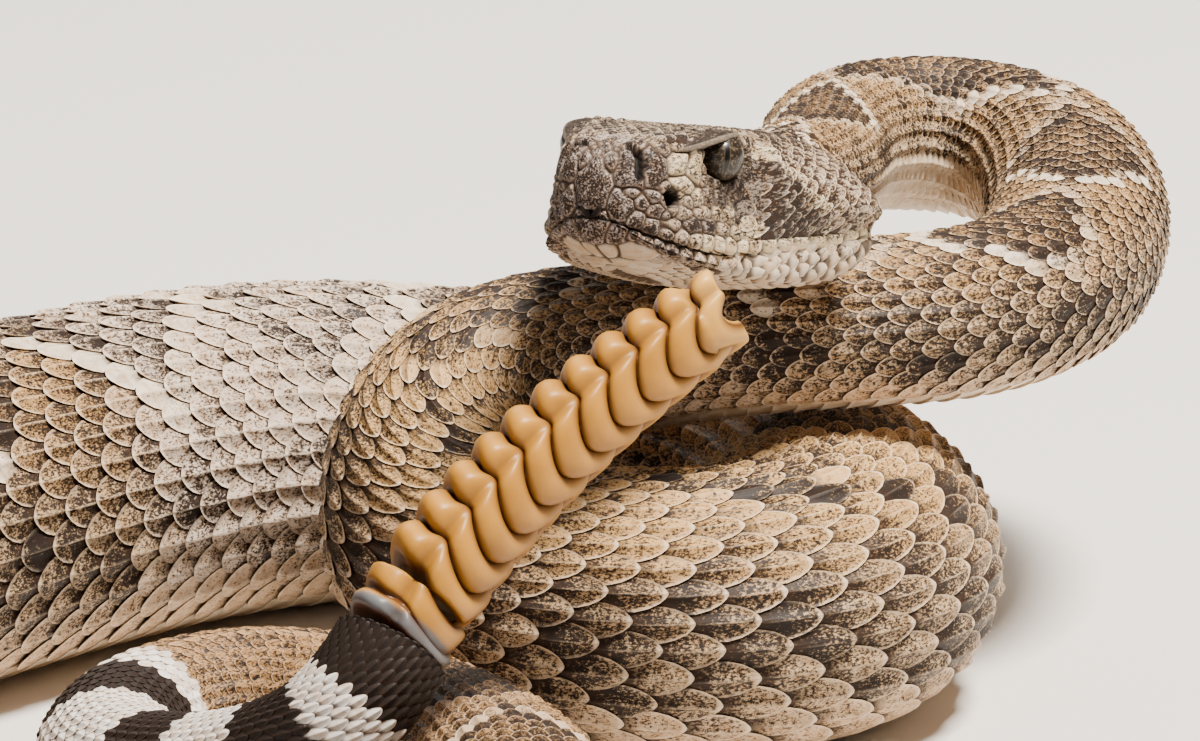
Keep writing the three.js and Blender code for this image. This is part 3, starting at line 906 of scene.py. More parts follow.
# On each side, in order: top of the snout, nostril, before the eye, cheek, above the lip, chin
SIDE_SHIELDS = [
    ((0.7, 1.2, 8.3), (1.0, 1.1, 1.0)),
    ((0.9, 3.1, 8.2), (1.0, 1.0, 1.0)),
    ((2.3, 1.4, 8.9), (1.0, 1.2, 1.0)),
    ((3.6, 3.4, 8.9), (1.6, 1.6, 1.0)),
    ((6.3, 6.4, 8.6), (1.5, 1.3, 1.0)),
    ((8.6, 7.6, 8.8), (1.5, 1.2, 0.9)),
    ((0.5, 1.9, 6.6), (1.5, 1.1, 1.5)),
    ((1.6, 4.0, 6.0), (2.1, 1.7, 2.7)),
    ((4.3, 6.2, 6.5), (1.7, 1.5, 2.6)),
    ((8.6, 7.9, 6.9), (1.8, 1.7, 1.5)),
    ((11.2, 8.9, 6.2), (1.6, 1.7, 1.9)),
    ((9.3, 8.6, 4.2), (2.2, 1.6, 1.1)),
    ((0.4, 3.7, 0.9), (1.7, 1.6, 2.0)),
    ((1.2, 4.8, 2.7), (1.1, 1.3, 0.8)),
    ((2.5, 6.0, 1.6), (1.1, 1.3, 0.9)),
    ((3.7, 6.8, 2.4), (1.0, 1.3, 0.9)),
    ((4.2, 7.2, 0.6), (1.2, 1.3, 0.9)),
    ((5.8, 8.1, 0.1), (0.8, 1.3, 0.6)),
    ((8.5, 9.2, 0.7), (1.3, 1.4, 0.9)),
    ((9.5, 9.3, 2.0), (1.0, 1.4, 0.8)),
    ((11.6, 9.7, 2.7), (1.1, 1.4, 1.1)),
    ((14.1, 10.1, 3.0), (1.1, 1.5, 1.3)),
    ((16.8, 10.7, 2.8), (1.3, 1.5, 1.2)),
    ((12.6, 10.3, 0.8), (1.6, 1.5, 0.8)),
    ((15.4, 10.9, 0.8), (1.2, 1.5, 0.9)),
    ((17.9, 11.4, 0.6), (1.2, 1.5, 1.0)),
    ((6.4, 8.5, -1.2), (1.8, 1.5, 0.9)),
    ((10.0, 10.0, -1.1), (1.8, 1.5, 0.9)),
    ((13.4, 10.9, -0.9), (1.5, 1.5, 0.9)),
    ((16.4, 11.6, -1.1), (1.4, 1.5, 0.9)),
    ((19.5, 12.4, -1.6), (1.5, 1.5, 1.0)),
    ((1.2, 3.2, -3.0), (1.6, 1.6, 1.9)),
    ((5.4, 4.1, -5.0), (3.0, 2.0, 1.5)),
    ((8.6, 2.0, -7.2), (3.2, 1.8, 1.5)),
    ((3.4, 1.4, -5.4), (2.2, 1.5, 1.3)),
]
# The scales along the lips, by their distance behind the snout
UPPER_LABIALS = [2.2, 4.1, 6.2, 8.4, 10.7, 13.0, 15.4, 17.9, 20.4, 23, 25.8, 28.8, 31.8, 35, 38.2, 41.4, 44.4]
LOWER_LABIALS = [2.3, 3.9, 5.5, 7.3, 9.6, 12.1, 14.8, 17.5]
LIDS = 15  # small scales round an eye, with those under the brow left out
LID_OUT = 3.7


def head_shields():
    """Middles and reaches of the shields of the snout, lips, cheeks and chin, and round the eyes."""
    paired = list(SIDE_SHIELDS)
    for rise, stations, tall in ((0.95, UPPER_LABIALS, 1.15), (-1.05, LOWER_LABIALS, 1.1)):
        for k, back in enumerate(stations):
            low, high = stations[max(k - 1, 0)], stations[min(k + 1, len(stations) - 1)]
            half_length = (high - low) / (4 if 0 < k < len(stations) - 1 else 2)
            place = (back, float(mouth_half(back)) + 0.2, float(mouth_height(back)) + rise)
            paired.append((place, (half_length * 1.05, 1.6, tall)))
    for k in range(LIDS):
        angle = 2 * math.pi * k / LIDS
        if math.sin(angle) < 0.72 and math.cos(angle) > -0.8:
            place = (EYE[0] + LID_OUT * math.cos(angle), 10.6, EYE[2] + LID_OUT * math.sin(angle))
            paired.append((place, (0.85, 3.0, 0.85)))
    shields = list(MIDDLE_SHIELDS)
    for place, reach in paired:
        for hand in (1, -1):
            shields.append(((place[0], hand * place[1], place[2]), reach))
    return np.array([s[0] for s in shields]), np.array([s[1] for s in shields])


def shielded(local):
    """True where shields and labials cover the head, rather than overlapping scales."""
    back, side, up = local[..., 0], np.abs(local[..., 1]), local[..., 2]
    over = up - mouth_height(back)
    labials = (over > np.where(back < 15, -1.7, -0.1)) & (over < 1.7) & (back < 45)
    labials = labials & (side > mouth_half(back) - 3)
    cheek = (back < 19.6 + 0.7 * np.sin(2.6 * up)) & (up < 9.0) & (over > 0) & (side > 4)
    chin = (over < 0) & (back < 8.5)
    eye = (np.hypot(back - EYE[0], up - EYE[2]) < 4.3) & (side > 5)
    brow = (np.hypot((back - 16) / 8.5, (side - 9.8) / 2.7) < 1) & (up > 7.5)
    return labials | cheek | chin | eye | brow | (back < 4.5)


FILL_APART = 1.9  # how far a small shield keeps from the others, in their own reaches
FILL_SPACING = 1.5
FILL_REACH = 0.8


def fill_shields(surface, places, reaches):
    """Small shields in staggered rows where no named shield lies."""
    made = []
    rng = np.random.default_rng(7)
    back, rank = 0.6, 0
    while back < 22:
        row = float(surface.row_behind(back))
        half = float(surface.half_at(row))
        count = max(3, int(half / FILL_SPACING))
        across = (np.arange(-count, count + 1) + 0.5 * (rank % 2)) * half / count
        across = across[np.abs(across) < half]
        across = across + rng.uniform(-0.12, 0.12, len(across))
        local = head_local(surface.place(np.full(len(across), row), across)[0])
        for place in local[shielded(local)]:
            near = (((places - place) / reaches) ** 2).sum(1).min()
            if near > FILL_APART:
                made.append(place)
        back += FILL_SPACING * 0.86
        rank += 1
    return np.array(made), np.full((len(made), 3), FILL_REACH)


AT_ONCE = 8000  # points compared with the shields at one time


def nearest_two(points, places, reaches):
    """For each point the nearest shield, and the scaled distances to it and to the next."""
    which = np.zeros(len(points), int)
    gaps = np.zeros((len(points), 2))
    for start in range(0, len(points), AT_ONCE):
        part = slice(start, start + AT_ONCE)
        gap = np.zeros((len(points[part]), len(places)), np.float32)
        for axis in range(3):
            gap += ((points[part, axis, None] - places[None, :, axis]) / reaches[None, :, axis]) ** 2
        order = np.argpartition(gap, 1, axis=1)[:, :2]
        pair = np.take_along_axis(gap, order, 1)
        swap = pair[:, 0] > pair[:, 1]
        order[swap] = order[swap][:, ::-1]
        which[part] = order[:, 0]
        gaps[part] = np.sqrt(np.sort(pair, 1))
    return which, gaps[:, 0], gaps[:, 1]


def off_segment(points, start, end):
    """Distance from points to the line between two places."""
    run = end - start
    t = np.clip(((points - start) @ run) / (run @ run), 0, 1)
    return np.linalg.norm(points - start - t[:, None] * run, axis=1)


SHIELD_STEP = 0.36  # how high a shield of the head stands over the crease round it
SHIELD_SWELL = 0.42  # and how far it bulges in its middle
# Depths of the head's openings, in millimetres
SOCKET_DEPTH = 1.9
PIT_DEPTH = 2.0
NOSTRIL_DEPTH = 1.1
MOUTH_DEPTH = 0.5
TONGUE_NOTCH_DEPTH = 1.4  # the arch in the upper lip that the tongue comes out of


def sink_openings(height, left):
    """The skin's height with nostrils, heat pits, sockets and mouth sunk in, and the painted shade inside
    them.
    """
    back, side, up = left.T
    flat = left * (1, 0, 1)
    slit = np.minimum(off_segment(flat, *NOSTRIL[:2]), off_segment(flat, *NOSTRIL[1:]))
    nostril = smooth(0.66, 0.2, slit) * (side > 2.5)
    # painted shade inside the nostril
    nostril_shade = smooth(0.72, 0.4, slit) * (side > 2.5)
    gap = np.linalg.norm((left - PIT) / (1.25, 2.2, 1.15), axis=1)
    pit = smooth(1.1, 0.85, gap)
    # painted shade inside the pit
    pit_shade = smooth(1.22, 1.05, gap)
    pit_rim = np.exp(-(((gap - 1.5) / 0.25) ** 2))
    reach = np.where(back < EYE[0], 5.1, 3.2)
    gap = np.hypot((back - EYE[0]) / reach, (up - EYE[2]) / 3.2)
    socket = smooth(1.0, 0.8, gap) * (side > 4)
    lid = np.exp(-(((gap - 1.08) / 0.1) ** 2)) * (side > 4)
    mouth = smooth(0.24, 0.07, np.abs(up - mouth_height(back))) * (side > mouth_half(back) - 2.5)
    mouth = mouth * smooth(46, 44, back)
    arch = smooth(1.1, 0.8, np.hypot(side / 1.25, (up + 0.3) / 0.65)) * (back < 1.5)
    height = height * (1 - socket) - SOCKET_DEPTH * socket + 0.12 * lid
    height = height * (1 - pit) - PIT_DEPTH * pit + 0.22 * pit_rim
    height = height * (1 - nostril) - NOSTRIL_DEPTH * nostril
    height = height - MOUTH_DEPTH * mouth * (1 - arch) - TONGUE_NOTCH_DEPTH * arch
    # the socket, mouth and tongue notch are darkened with painted shade as well
    return height, np.maximum.reduce([nostril_shade, pit_shade, socket, mouth * 0.8, arch])


def head_skin(surface):
    """Height, tone and finish of each point of the head's skin."""
    rows = surface.head_rows
    local = head_local(surface.points[:rows].reshape(-1, 3))
    places, reaches = head_shields()
    small = fill_shields(surface, places, reaches)
    places, reaches = np.concatenate([places, small[0]]), np.concatenate([reaches, small[1]])
    which, first, second = nearest_two(local, places, reaches)
    own = places[which]
    border = (second - first) * reaches[which].min(1) / 2
    zone = shielded(local)
    height = (SHIELD_STEP * smooth(0.0, 0.28, border) + SHIELD_SWELL * smooth(0.0, 1.1, border)) * zone
    height = height * np.where(own[:, 2] < mouth_height(own[:, 0]), 0.65, 1.0)
    # painted shade in the creases between the shields
    crease = (1 - smooth(0.06, 0.25, border)) * zone
    rim = smooth(0.42, 0.26, border) * zone
    left = np.stack([local[:, 0], np.abs(local[:, 1]), local[:, 2]], 1)
    height, hollow = sink_openings(height, left)
    row_number = np.repeat(np.arange(rows), surface.COLUMNS)
    height = height * smooth(rows - 2, rows - 20, row_number)
    tones, flecks = head_markings(own)
    back, _, up = left.T
    near_lip = smooth(0.2, 1.5, np.abs(up - mouth_height(back)))
    flecks = flecks * (1 - 0.6 * (1 - near_lip) * smooth(9, 14, back))
    flecks = flecks * (1 - rim * 0.2)
    return height, tones, flecks, rim * 0.3, crease * 0.96, hollow, which


# Both edges of the dark stripe behind the eye: distances behind the snout, and heights there
STRIPE_FRONT = ([8, 11.5, 24.7, 30], [6, 3.6, -3.2, -5.5])
STRIPE_REAR = ([18, 21.3, 27, 31, 36], [10, 8.5, 5.4, 1.2, -4])


def head_markings(local):
    """The tone and fleck at places on the head."""
    back, side, up = local[:, 0], np.abs(local[:, 1]), local[:, 2]
    tone = np.tile(colour("crown"), (len(local), 1))
    fleck = 0.66 + 0.12 * smooth(18, 8, back)

    def paint(amount, name, cover):
        nonlocal tone, fleck
        tone = blend_in(tone, colour(name), amount)
        fleck = fleck * (1 - amount) + cover * amount

    over = up - mouth_height(back)
    on_side = smooth(9.6, 8.6, up) * smooth(3, 6, side)
    paint(on_side, "cheek", 0.56)
    paint(smooth(7.5, 4.5, back) * smooth(9.5, 8.5, up), "snout", 0.66)
    paint(smooth(1.3, 0.7, np.hypot((back - 9.8) / 2.9, (up - 5.6) / 2.3)) * on_side, "pale_line", 0.47)
    paint(band(back, 4.5, 6, 13.5, 15.5) * smooth(1.0, 0.4, np.abs(over - 2.9)), "snout", 0.8)
    front_line = up - np.interp(back, *STRIPE_FRONT)
    rear_line = up - np.interp(back, *STRIPE_REAR)
    stripe = smooth(0.2, 1.0, front_line) * smooth(0.0, -0.7, rear_line) * smooth(12.5, 15, back) * on_side
    paint(stripe, "eye_stripe", 0.74)
    ahead = smooth(1.5, 0.7, np.abs(front_line + 0.7)) * smooth(10, 12, back)
    astern = smooth(1.2, 0.6, np.abs(rear_line - 0.7)) * smooth(19, 21, back)
    paint(np.maximum(ahead, astern) * on_side * (over > 0), "pale_line", 0.57)
    lip = smooth(2.2, 1.8, over) * smooth(9, 13, back) * (over > 0)
    paint(lip, "pale_line", 0.5)
    below = smooth(0.2, -0.2, over)
    paint(below, "throat", 0.12)
    paint(below * smooth(-2.4, -1.6, over) * smooth(19, 15, back), "cheek", 0.6)
    paint(below * smooth(-2.3, -1.7, over) * smooth(11, 7, back), "snout", 0.62)
    paint(below * smooth(-2.6, -1.6, over) * band(back, 28, 31, 41, 44), "throat", 0.42)
    return tone, fleck


# Pieces


KEPT = {}


def the_surface():
    """The surface, worked out once."""
    if "surface" not in KEPT:
        look = bpy.context.scene.snake_scales
        KEPT["surface"] = Surface(Route(), look.head_depth, look.body_depth)
    return KEPT["surface"]


FLESH = [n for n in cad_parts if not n.startswith(("eye", "rattle"))]
BODY_SKIP = 6  # under the scales the skin has one column in this many
BODY_PARTS = 6  # pieces that the body's scales are joined into
BODY_SINK = 0.15  # how far the skin lies under the scales' roots
COLLAR = (44, 50)  # behind the snout, where the skin between the neck's scales darkens


def build_skin():
    """One closed skin from the snout to the end of the tail, finest on the head."""
    surface = the_surface()
    columns = surface.COLUMNS
    rows = surface.head_rows
    height, tones, flecks, rim, crease, hollow, which = head_skin(surface)
    plain = surface.points[:rows].reshape(-1, 3)
    head = plain + surface.normals[:rows].reshape(-1, 3) * height[:, None]
    thinned = (slice(rows + 1, None, 2), slice(None, None, BODY_SKIP))
    body = surface.points[thinned] - surface.normals[thinned] * BODY_SINK
    body[..., 2] = np.maximum(body[..., 2], FLOOR_CLEARANCE)
    body_rows, body_columns = body.shape[:2]
    start = rows * columns
    last = (rows - 1) * columns
    j = np.arange(body_columns)
    seam = [last + (j * BODY_SKIP + k) % columns for k in range(BODY_SKIP + 1)]
    seam += [start + (j + 1) % body_columns, start + j]
    ends = [np.arange(columns)[::-1][None], (start + (body_rows - 1) * body_columns + j)[None]]
    faces = [grid_faces(rows, columns, True), grid_faces(body_rows, body_columns, True, start)]
    faces += [np.stack(seam, 1), *ends]
    stations = np.repeat(surface.station[rows + 1 :: 2], body_columns)
    shares = np.concatenate([surface.shares, surface.shares[:, -2:0:-1] * -1], 1)[thinned]
    body_tone = body_markings(stations, shares.ravel())[0]
    body_tone = blend_in(body_tone * 0.35, colour("between"), 0.6 * smooth(0.01, 0.2, body_tone.max(1)))
    local = head_local(plain)
    tones = blend_in(tones, colour("between"), smooth(*COLLAR, local[:, 0]) * 0.7)
    rng = np.random.default_rng(3)
    offsets = rng.uniform(0, 400, (which.max() + 1, 1))
    grain = np.concatenate([local + offsets[which], body.reshape(-1, 3)])
    rest = np.zeros(len(stations))
    maps = []
    for low, wide, (down, round_) in ((0.0, 0.44, (rows, columns)), (0.45, 0.54, body.shape[:2])):
        u = low + wide * np.arange(down) / down
        maps.append(np.stack(np.meshgrid(u, np.arange(round_) / round_, indexing="ij"), -1).reshape(-1, 2))
    obj = new_mesh(
        "skin",
        to_metres(np.concatenate([head, body.reshape(-1, 3)])),
        faces,
        [skin_material("snake skin")],
        uv=np.concatenate(maps),
        colours={"tone": np.concatenate([tones, body_tone])},
        vectors={"grain": grain},
        floats={
            "edge": np.concatenate([rim, rest]),
            "pale": np.concatenate([np.ones(len(rim)), rest]),
            "fleck": np.concatenate([flecks, rest + 0.2]),
            # painted shade in the creases between the head's shields
            "crease": np.concatenate([crease, rest]),
            "root": np.full(len(height) + len(rest), 0.4),
            # painted shade inside the head's openings
            "hollow": np.concatenate([hollow, rest]),
        },
    )
    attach(obj, "root")
    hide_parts(*FLESH)


# How many rows of scales cross the back, by the distance along the body
ROW_STATIONS = [10, 60, 150, 260, 420, 700, 820, 900, 960]
ROW_COUNTS = [23, 23, 25, 27, 27, 27, 25, 27, 29]
TAIL_SCALES = (820, 900)  # where the scales turn into those of the tail, with lower keels


def scale_pitch(width):
    """Distance from one scale to the next along a row, for a body of that width."""
    return 2.1 + 0.074 * width - 1.5 * smooth(30, 20, width)


def body_roots(surface):
    """The roots of all the scales on the back and flanks."""
    look = bpy.context.scene.snake_scales
    route = surface.route
    rng = np.random.default_rng(11)
    found = []
    s = look.first_scale
    while s < route.length - surface.RING_STEP:
        pitch = scale_pitch(route.width_at(s))
        most = float(np.interp(s, ROW_STATIONS, ROW_COUNTS)) / 2
        for parity in (0, 1):
            at = s + parity * pitch / 2
            row = float(surface.row_at(at))
            half = float(surface.half_at(row))
            numbers = np.arange(-int(most), int(most) + 1)
            numbers = numbers[numbers % 2 == parity]
            out = np.abs(numbers) / most
            share = look.dorsal_share * np.sign(numbers) * (out * (1 - look.spread) + look.spread * out**3)
            gap = look.dorsal_share * half / most * (1 - look.spread + 3 * look.spread * out**2)
            for value, step in zip(share, gap):
                found.append((row, value * half, pitch, step, at, value))
        s += pitch
    rows, across, pitches, spacings, stations, shares = np.array(found).T
    n = len(rows)
    pace = surface.pace(rows, across)
    number = rows.astype(int)
    plain = surface.station[number + 1] - surface.station[number]
    stretch = np.clip(pace / np.maximum(plain, 0.1), 0.5, 1.9) ** 0.7
    tone, fleck = body_markings(stations, shares)
    lowest = smooth(look.dorsal_share - 0.09, look.dorsal_share - 0.02, np.abs(shares))
    tail = smooth(*TAIL_SCALES, stations)
    size = np.clip(spacings / 3.3, 0.4, 1.1)
    dark = (fleck > 0.7) * (stations < TAIL_SCALES[1])
    return {
        "row": rows,
        "across": across + rng.normal(0, 0.03, n) * spacings,
        "length": pitches * look.overlap * stretch * rng.uniform(0.97, 1.03, n),
        "width": spacings * look.breadth * (1 + 0.06 * lowest),
        "lift": look.lift * size,
        "keel": look.keel * size * (1 - 0.85 * lowest) * (1 - 0.4 * tail),
        "dome": np.full(n, look.dome),
        "thick": np.full(n, look.thickness),
        "tone": tone * rng.uniform(0.9, 1.08, (n, 1)),
        "fleck": fleck * rng.uniform(0.84, 1.12, n) * (1 - 0.12 * dark),
        "pale": np.clip(1.2 - fleck, 0.1, 0.95) * smooth(0.02, 0.06, tone.max(1)) * (1 - 0.6 * tail),
        "seed": rng.uniform(0, 400, n),
        "cover": np.ones(n),
        "station": stations,
    }


def build_body_scales():
    """The keeled scales of the body in lengths, each a joined mesh of single plates."""
    surface = the_surface()
    roots = body_roots(surface)
    material = scale_material("keeled scale")
    order = np.argsort(roots.pop("station"), kind="stable")
    for number, chunk in enumerate(np.array_split(order, BODY_PARTS), 1):
        part = {key: values[chunk] for key, values in roots.items()}
        build_scales(f"scales_{number}", surface, part, material, BODY_PLATE)


SCUTE_BOW = 0.25  # how far a belly scute's ends lie ahead of its middle, as a share of its length
SCUTE_OVERLAP = 1.15  # its length over its pitch
SCUTE_TUCK = 0.02  # how far it runs in under the lowest scales, as a share of the half round
SCUTE_THICKNESS = 0.1


def build_belly_scutes():
    """The wide plates under the neck, body and tail."""
    surface = the_surface()
    look = bpy.context.scene.snake_scales
    route = surface.route
    stations = []
    s = look.first_scale
    while s < route.length - surface.RING_STEP:
        stations.append(s)
        s += scale_pitch(route.width_at(s))
    stations = np.array(stations)
    n = len(stations)
    rows = surface.row_at(stations)
    half = surface.half_at(rows)
    pitch = np.append(np.diff(stations), stations[-1] - stations[-2])
    plate = SCUTE_PLATE
    a, b = plate.a[None], plate.b[None]
    pace = surface.pace(rows, half)
    bow = SCUTE_BOW * (1 - b**2) - SCUTE_BOW
    row = rows[:, None] + (a + bow) * (pitch * SCUTE_OVERLAP / pace)[:, None]
    reach = (1 - look.dorsal_share + SCUTE_TUCK) * half
    point, normal = surface.place(row, half[:, None] + b * reach[:, None])
    rise = (0.12 + 0.4 * a**1.5) * (1 - 0.6 * np.abs(b) ** 6)
    upper = point + normal * rise[..., None]
    lower = (point - normal * SCUTE_THICKNESS)[:, plate.rim]
    points = np.concatenate([upper, lower], 1)
    points[..., 2] = np.maximum(points[..., 2], FLOOR_CLEARANCE)
    flat = lambda values: np.broadcast_to(values, (n, plate.a.size))
    tone, fleck = body_markings(stations, np.full(n, 0.95))
    rng = np.random.default_rng(5)
    tone = tone * rng.uniform(0.95, 1.03, (n, 1))
    grain = (a * pitch[:, None], b * reach[:, None], rng.uniform(0, 400, (n, 1)))
    grain = np.stack([flat(values) for values in grain], -1)
    obj = new_mesh(
        "belly_scutes",
        to_metres(points.reshape(-1, 3)),
        plate.faces(n),
        [scale_material("belly scute", 0.42)],
        uv=patch_map(surface, rows, half * 0.999, *map(plate.both, (flat(a), flat(b)))),
        colours={"tone": np.repeat(tone, plate.size, axis=0)},
        vectors={"grain": plate.both(grain).reshape(-1, 3)},
        floats={
            "edge": plate.both(flat(smooth(0.8, 1.0, a))).ravel(),
            "root": np.zeros(n * plate.size),
            "fleck": np.repeat(fleck, plate.size),
            "pale": np.full(n * plate.size, 0.7),
        },
    )
    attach(obj, "root")


def head_ranks(surface, first, last, spacing_front, spacing_back, step):
    """Staggered places in ranks across the head: row, across, distance back and spacing."""
    found = []
    back, rank = first, 0
    while back < last:
        spacing = spacing_front + (spacing_back - spacing_front) * float(smooth(first, 45, back))
        row = float(surface.row_behind(back))
        half = float(surface.half_at(row))
        count = int(half / spacing)
        for k in range(-count - 1, count + 2):
            at = (k + 0.5 * (rank % 2)) * spacing
            if abs(at) < half:
                found.append((row, at, back, spacing))
        back += spacing * step
        rank += 1
    return np.array(found).T


HEAD_SCALE_THICKNESS = 0.2


def build_head_scales():
    """Overlapping scales: small keeled ones on the crown and temples, smooth ones under the jaw."""
    surface = the_surface()
    look = bpy.context.scene.snake_scales
    last = look.first_scale + surface.neck_back - 0.5
    # for each kind, ranks as head_ranks takes them, then length, width, lift, keel and dome
    kinds = (
        ("crown_scales", False, (4.0, last, 1.65, 2.1, 0.78), (1.8, 1.28, 0.42, 0.16, 0.12), "scaled_skin"),
        ("jaw_scales", True, (7.0, last, 1.6, 2.0, 0.98), (1.75, 1.25, 0.55, 0.0, 0.4), "throat_skin"),
    )
    for name, under, ranks, (long, broad, lift, keel, dome), slot in kinds:
        rng = np.random.default_rng(21)
        row, across, back, spacing = head_ranks(surface, *ranks)
        local = head_local(surface.place(row, across)[0])
        share = across / surface.half_at(row)
        below = np.where(back < 46, local[:, 2] < mouth_height(back) - 0.2, np.abs(share) > look.dorsal_share)
        keep = (below == under) & ~shielded(local)
        kept = (values[keep] for values in (row, across, back, spacing, local, share))
        row, across, back, spacing, local, share = kept
        n = len(row)
        tone, fleck = head_markings(local)
        body_tone, body_fleck = body_markings(surface.station_at(row), share)
        neck = smooth(46, 56, back) * (not under)
        tone = blend_in(tone, body_tone, neck)
        fleck = fleck * (1 - neck) + body_fleck * neck
        roots = {
            "row": row,
            "across": across + rng.normal(0, 0.05, n) * spacing,
            "length": spacing * long * rng.uniform(0.92, 1.08, n),
            "width": spacing * broad * rng.uniform(0.94, 1.06, n),
            "lift": np.full(n, lift),
            "keel": keel * smooth(12, 26, back),
            "dome": np.full(n, dome),
            "thick": np.full(n, HEAD_SCALE_THICKNESS),
            "tone": tone * rng.uniform(0.88, 1.1, (n, 1)),
            "fleck": fleck * rng.uniform(0.85, 1.12, n),
            "pale": np.clip(1.2 - fleck, 0.25, 0.95),
            "seed": rng.uniform(0, 400, n),
            "cover": np.where(shielded(local - spacing[:, None] * (1.3, 0, 0)), 0.0, 1.0),
        }
        material = scale_material(name.replace("_", " "), 0.45, (0.36, 0.66))
        build_scales(name, surface, roots, material, HEAD_PLATE)


EYE_FACING = np.array([-1.19, 1.0, 0.12])  # back, out to the side and up
PUPIL = (0.003, 0.002, 0.002)


def build_eye(hand, name):
    """A dark eye with a gold-flecked iris and an upright slit, under its clear scale."""
    side = 1 if hand == "left" else -1
    rows, columns = 48, 64
    lat = np.linspace(0.001, math.pi - 0.001, rows)
    lon = np.arange(columns) / columns * 2 * math.pi
    facing = unit(EYE_FACING)
    first = unit(np.cross([0, 0, 1.0], facing))
    second = np.cross(facing, first)
    ring = np.sin(lat)[:, None, None]
    spread = np.cos(lon)[None, :, None] * first + np.sin(lon)[None, :, None] * second
    local = EYE + EYE_RADIUS * (np.cos(lat)[:, None, None] * facing + ring * spread)
    local[..., 1] *= side
    local[..., 0] *= -1
    faces = [f[:, ::side] for f in tube_faces(rows, columns)]
    turn, tip = np.tile(lon, rows), np.repeat(lat, columns)
    obj = new_mesh(
        f"eyeball_{hand}",
        to_metres(head_to_world(local.reshape(-1, 3))),
        faces,
        [eye_material(f"eye {hand}")],
        uv=0.5 + 0.45 * np.stack([np.cos(turn), np.sin(turn)], 1) * (tip / math.pi)[:, None],
        floats={"across": np.sin(tip) * np.cos(turn), "up": np.sin(tip) * np.sin(turn)},
    )
    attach(obj, "root")
    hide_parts(name)


# The shield over the left eye: distance back, outer edge and the height of its top there
BROW_EDGE = np.array(
    [
        (7.6, 7.5, 8.6),
        (9.8, 9.0, 9.2),
        (12.5, 10.2, 10.1),
        (15.8, 11.0, 10.9),
        (20.2, 11.2, 11.3),
        (23.2, 10.6, 11.0),
    ]
)
BROW_THICK = 1.15
BROW_ROOT = 6.2  # how far out its inner edge lies


def build_brows():
    """The thick shield that overhangs each eye like a visor."""
    rows, columns = 44, 36
    along = catmull_rom(BROW_EDGE, np.linspace(0, len(BROW_EDGE) - 1.0001, rows))
    share = np.linspace(0, 1, rows)
    full = np.sin(math.pi * np.clip(share, 0.02, 0.98)) ** 0.4
    angle = np.arange(columns) / columns * 2 * math.pi
    out, high = np.cos(angle), np.sin(angle)
    squared_off = lambda v, p: np.sign(v) * np.abs(v) ** p
    middle = (along[:, 1] + BROW_ROOT) / 2
    half = (along[:, 1] - BROW_ROOT) / 2 * full
    side = middle[:, None] + half[:, None] * squared_off(out, 0.55)[None]
    slope = 0.03 * (along[:, 1, None] - side)
    thick = BROW_THICK * full[:, None] * (1 + 0.9 * smooth(0.6, -0.6, out)[None] * (high < 0)[None])
    up = along[:, 2, None] + slope + thick / 2 * (squared_off(high, 0.7)[None] - 1)
    back = np.broadcast_to(along[:, 0, None], side.shape)
    n = rows * columns
    material = skin_material("brow shield")
    spot = np.repeat(share, columns)
    for hand, sign in (("left", 1), ("right", -1)):
        local = np.stack([-back, side * sign, up], -1).reshape(-1, 3)
        faces = [f[:, ::-sign] for f in tube_faces(rows, columns)]
        tone = np.tile(colour("brow"), (n, 1)) * (0.92 + 0.12 * np.sin(spot * 9)[:, None] ** 2)
        obj = new_mesh(
            f"brow_{hand}",
            to_metres(head_to_world(local)),
            faces,
            [material],
            uv=np.stack([spot, np.tile(angle / 2 / math.pi, rows)], 1),
            colours={"tone": tone},
            vectors={"grain": local},
            floats={
                "edge": np.tile(smooth(0.55, 0.95, out), rows),
                "pale": np.full(n, 0.15),
                "fleck": np.full(n, 0.72),
                "crease": np.zeros(n),
                "root": np.full(n, 0.4),
                # painted shade under the brow
                "hollow": np.tile(smooth(-0.2, -0.9, high), rows) * 0.6,
            },
        )
        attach(obj, "root")


# One ring of the rattle: share of its length and how far it swells there
RING_SHARES = np.array([0, 0.03, 0.08, 0.16, 0.26, 0.38, 0.5, 0.62, 0.74, 0.84, 0.92, 0.97, 1.0])
RING_SWELLS = np.array([0.7, 0.84, 0.92, 0.98, 1.02, 1.05, 1.05, 1.03, 0.98, 0.92, 0.86, 0.78, 0.7])
RING_COLUMNS = 96
AXIS_SAMPLES = 801
# How far the seam between two rings is moved along the rattle, at heights from its foot to its top
SEAM_HEIGHTS = [-1.0, -0.95, -0.86, -0.7, -0.5, -0.3, 0.0, 0.2, 0.32, 0.45, 0.65, 0.85, 1.0]
SEAM_SHIFTS = [0.62, 0.2, -0.16, -0.33, -0.33, -0.25, -0.03, 0.2, 0.36, 0.3, 0.24, 0.36, 0.5]
RATTLE_ROLL = math.radians(32)  # how far the pattern of the rings is turned about the rattle
KNOB_FOOT = 0.33  # height of the groove between a ring's upper knob and its long lower lobe
RATTLE_START = 0.5
ROOT_RING_END = 2.8  # where the youngest ring, still blue-grey, gives way to the first gold one
RATTLE_GAP = 0.3  # between the root ring's piece and the row of rings
RAGGED_REACH = 0.4  # how far the broken end runs past the last ring
ROOT_RING_BULGE = 0.35  # how much its rings swell, as a share of the others
WORN_STRETCH = 9  # the last stretch, where the horn is paler
CUP_DEPTH = 2.2  # of the broken end


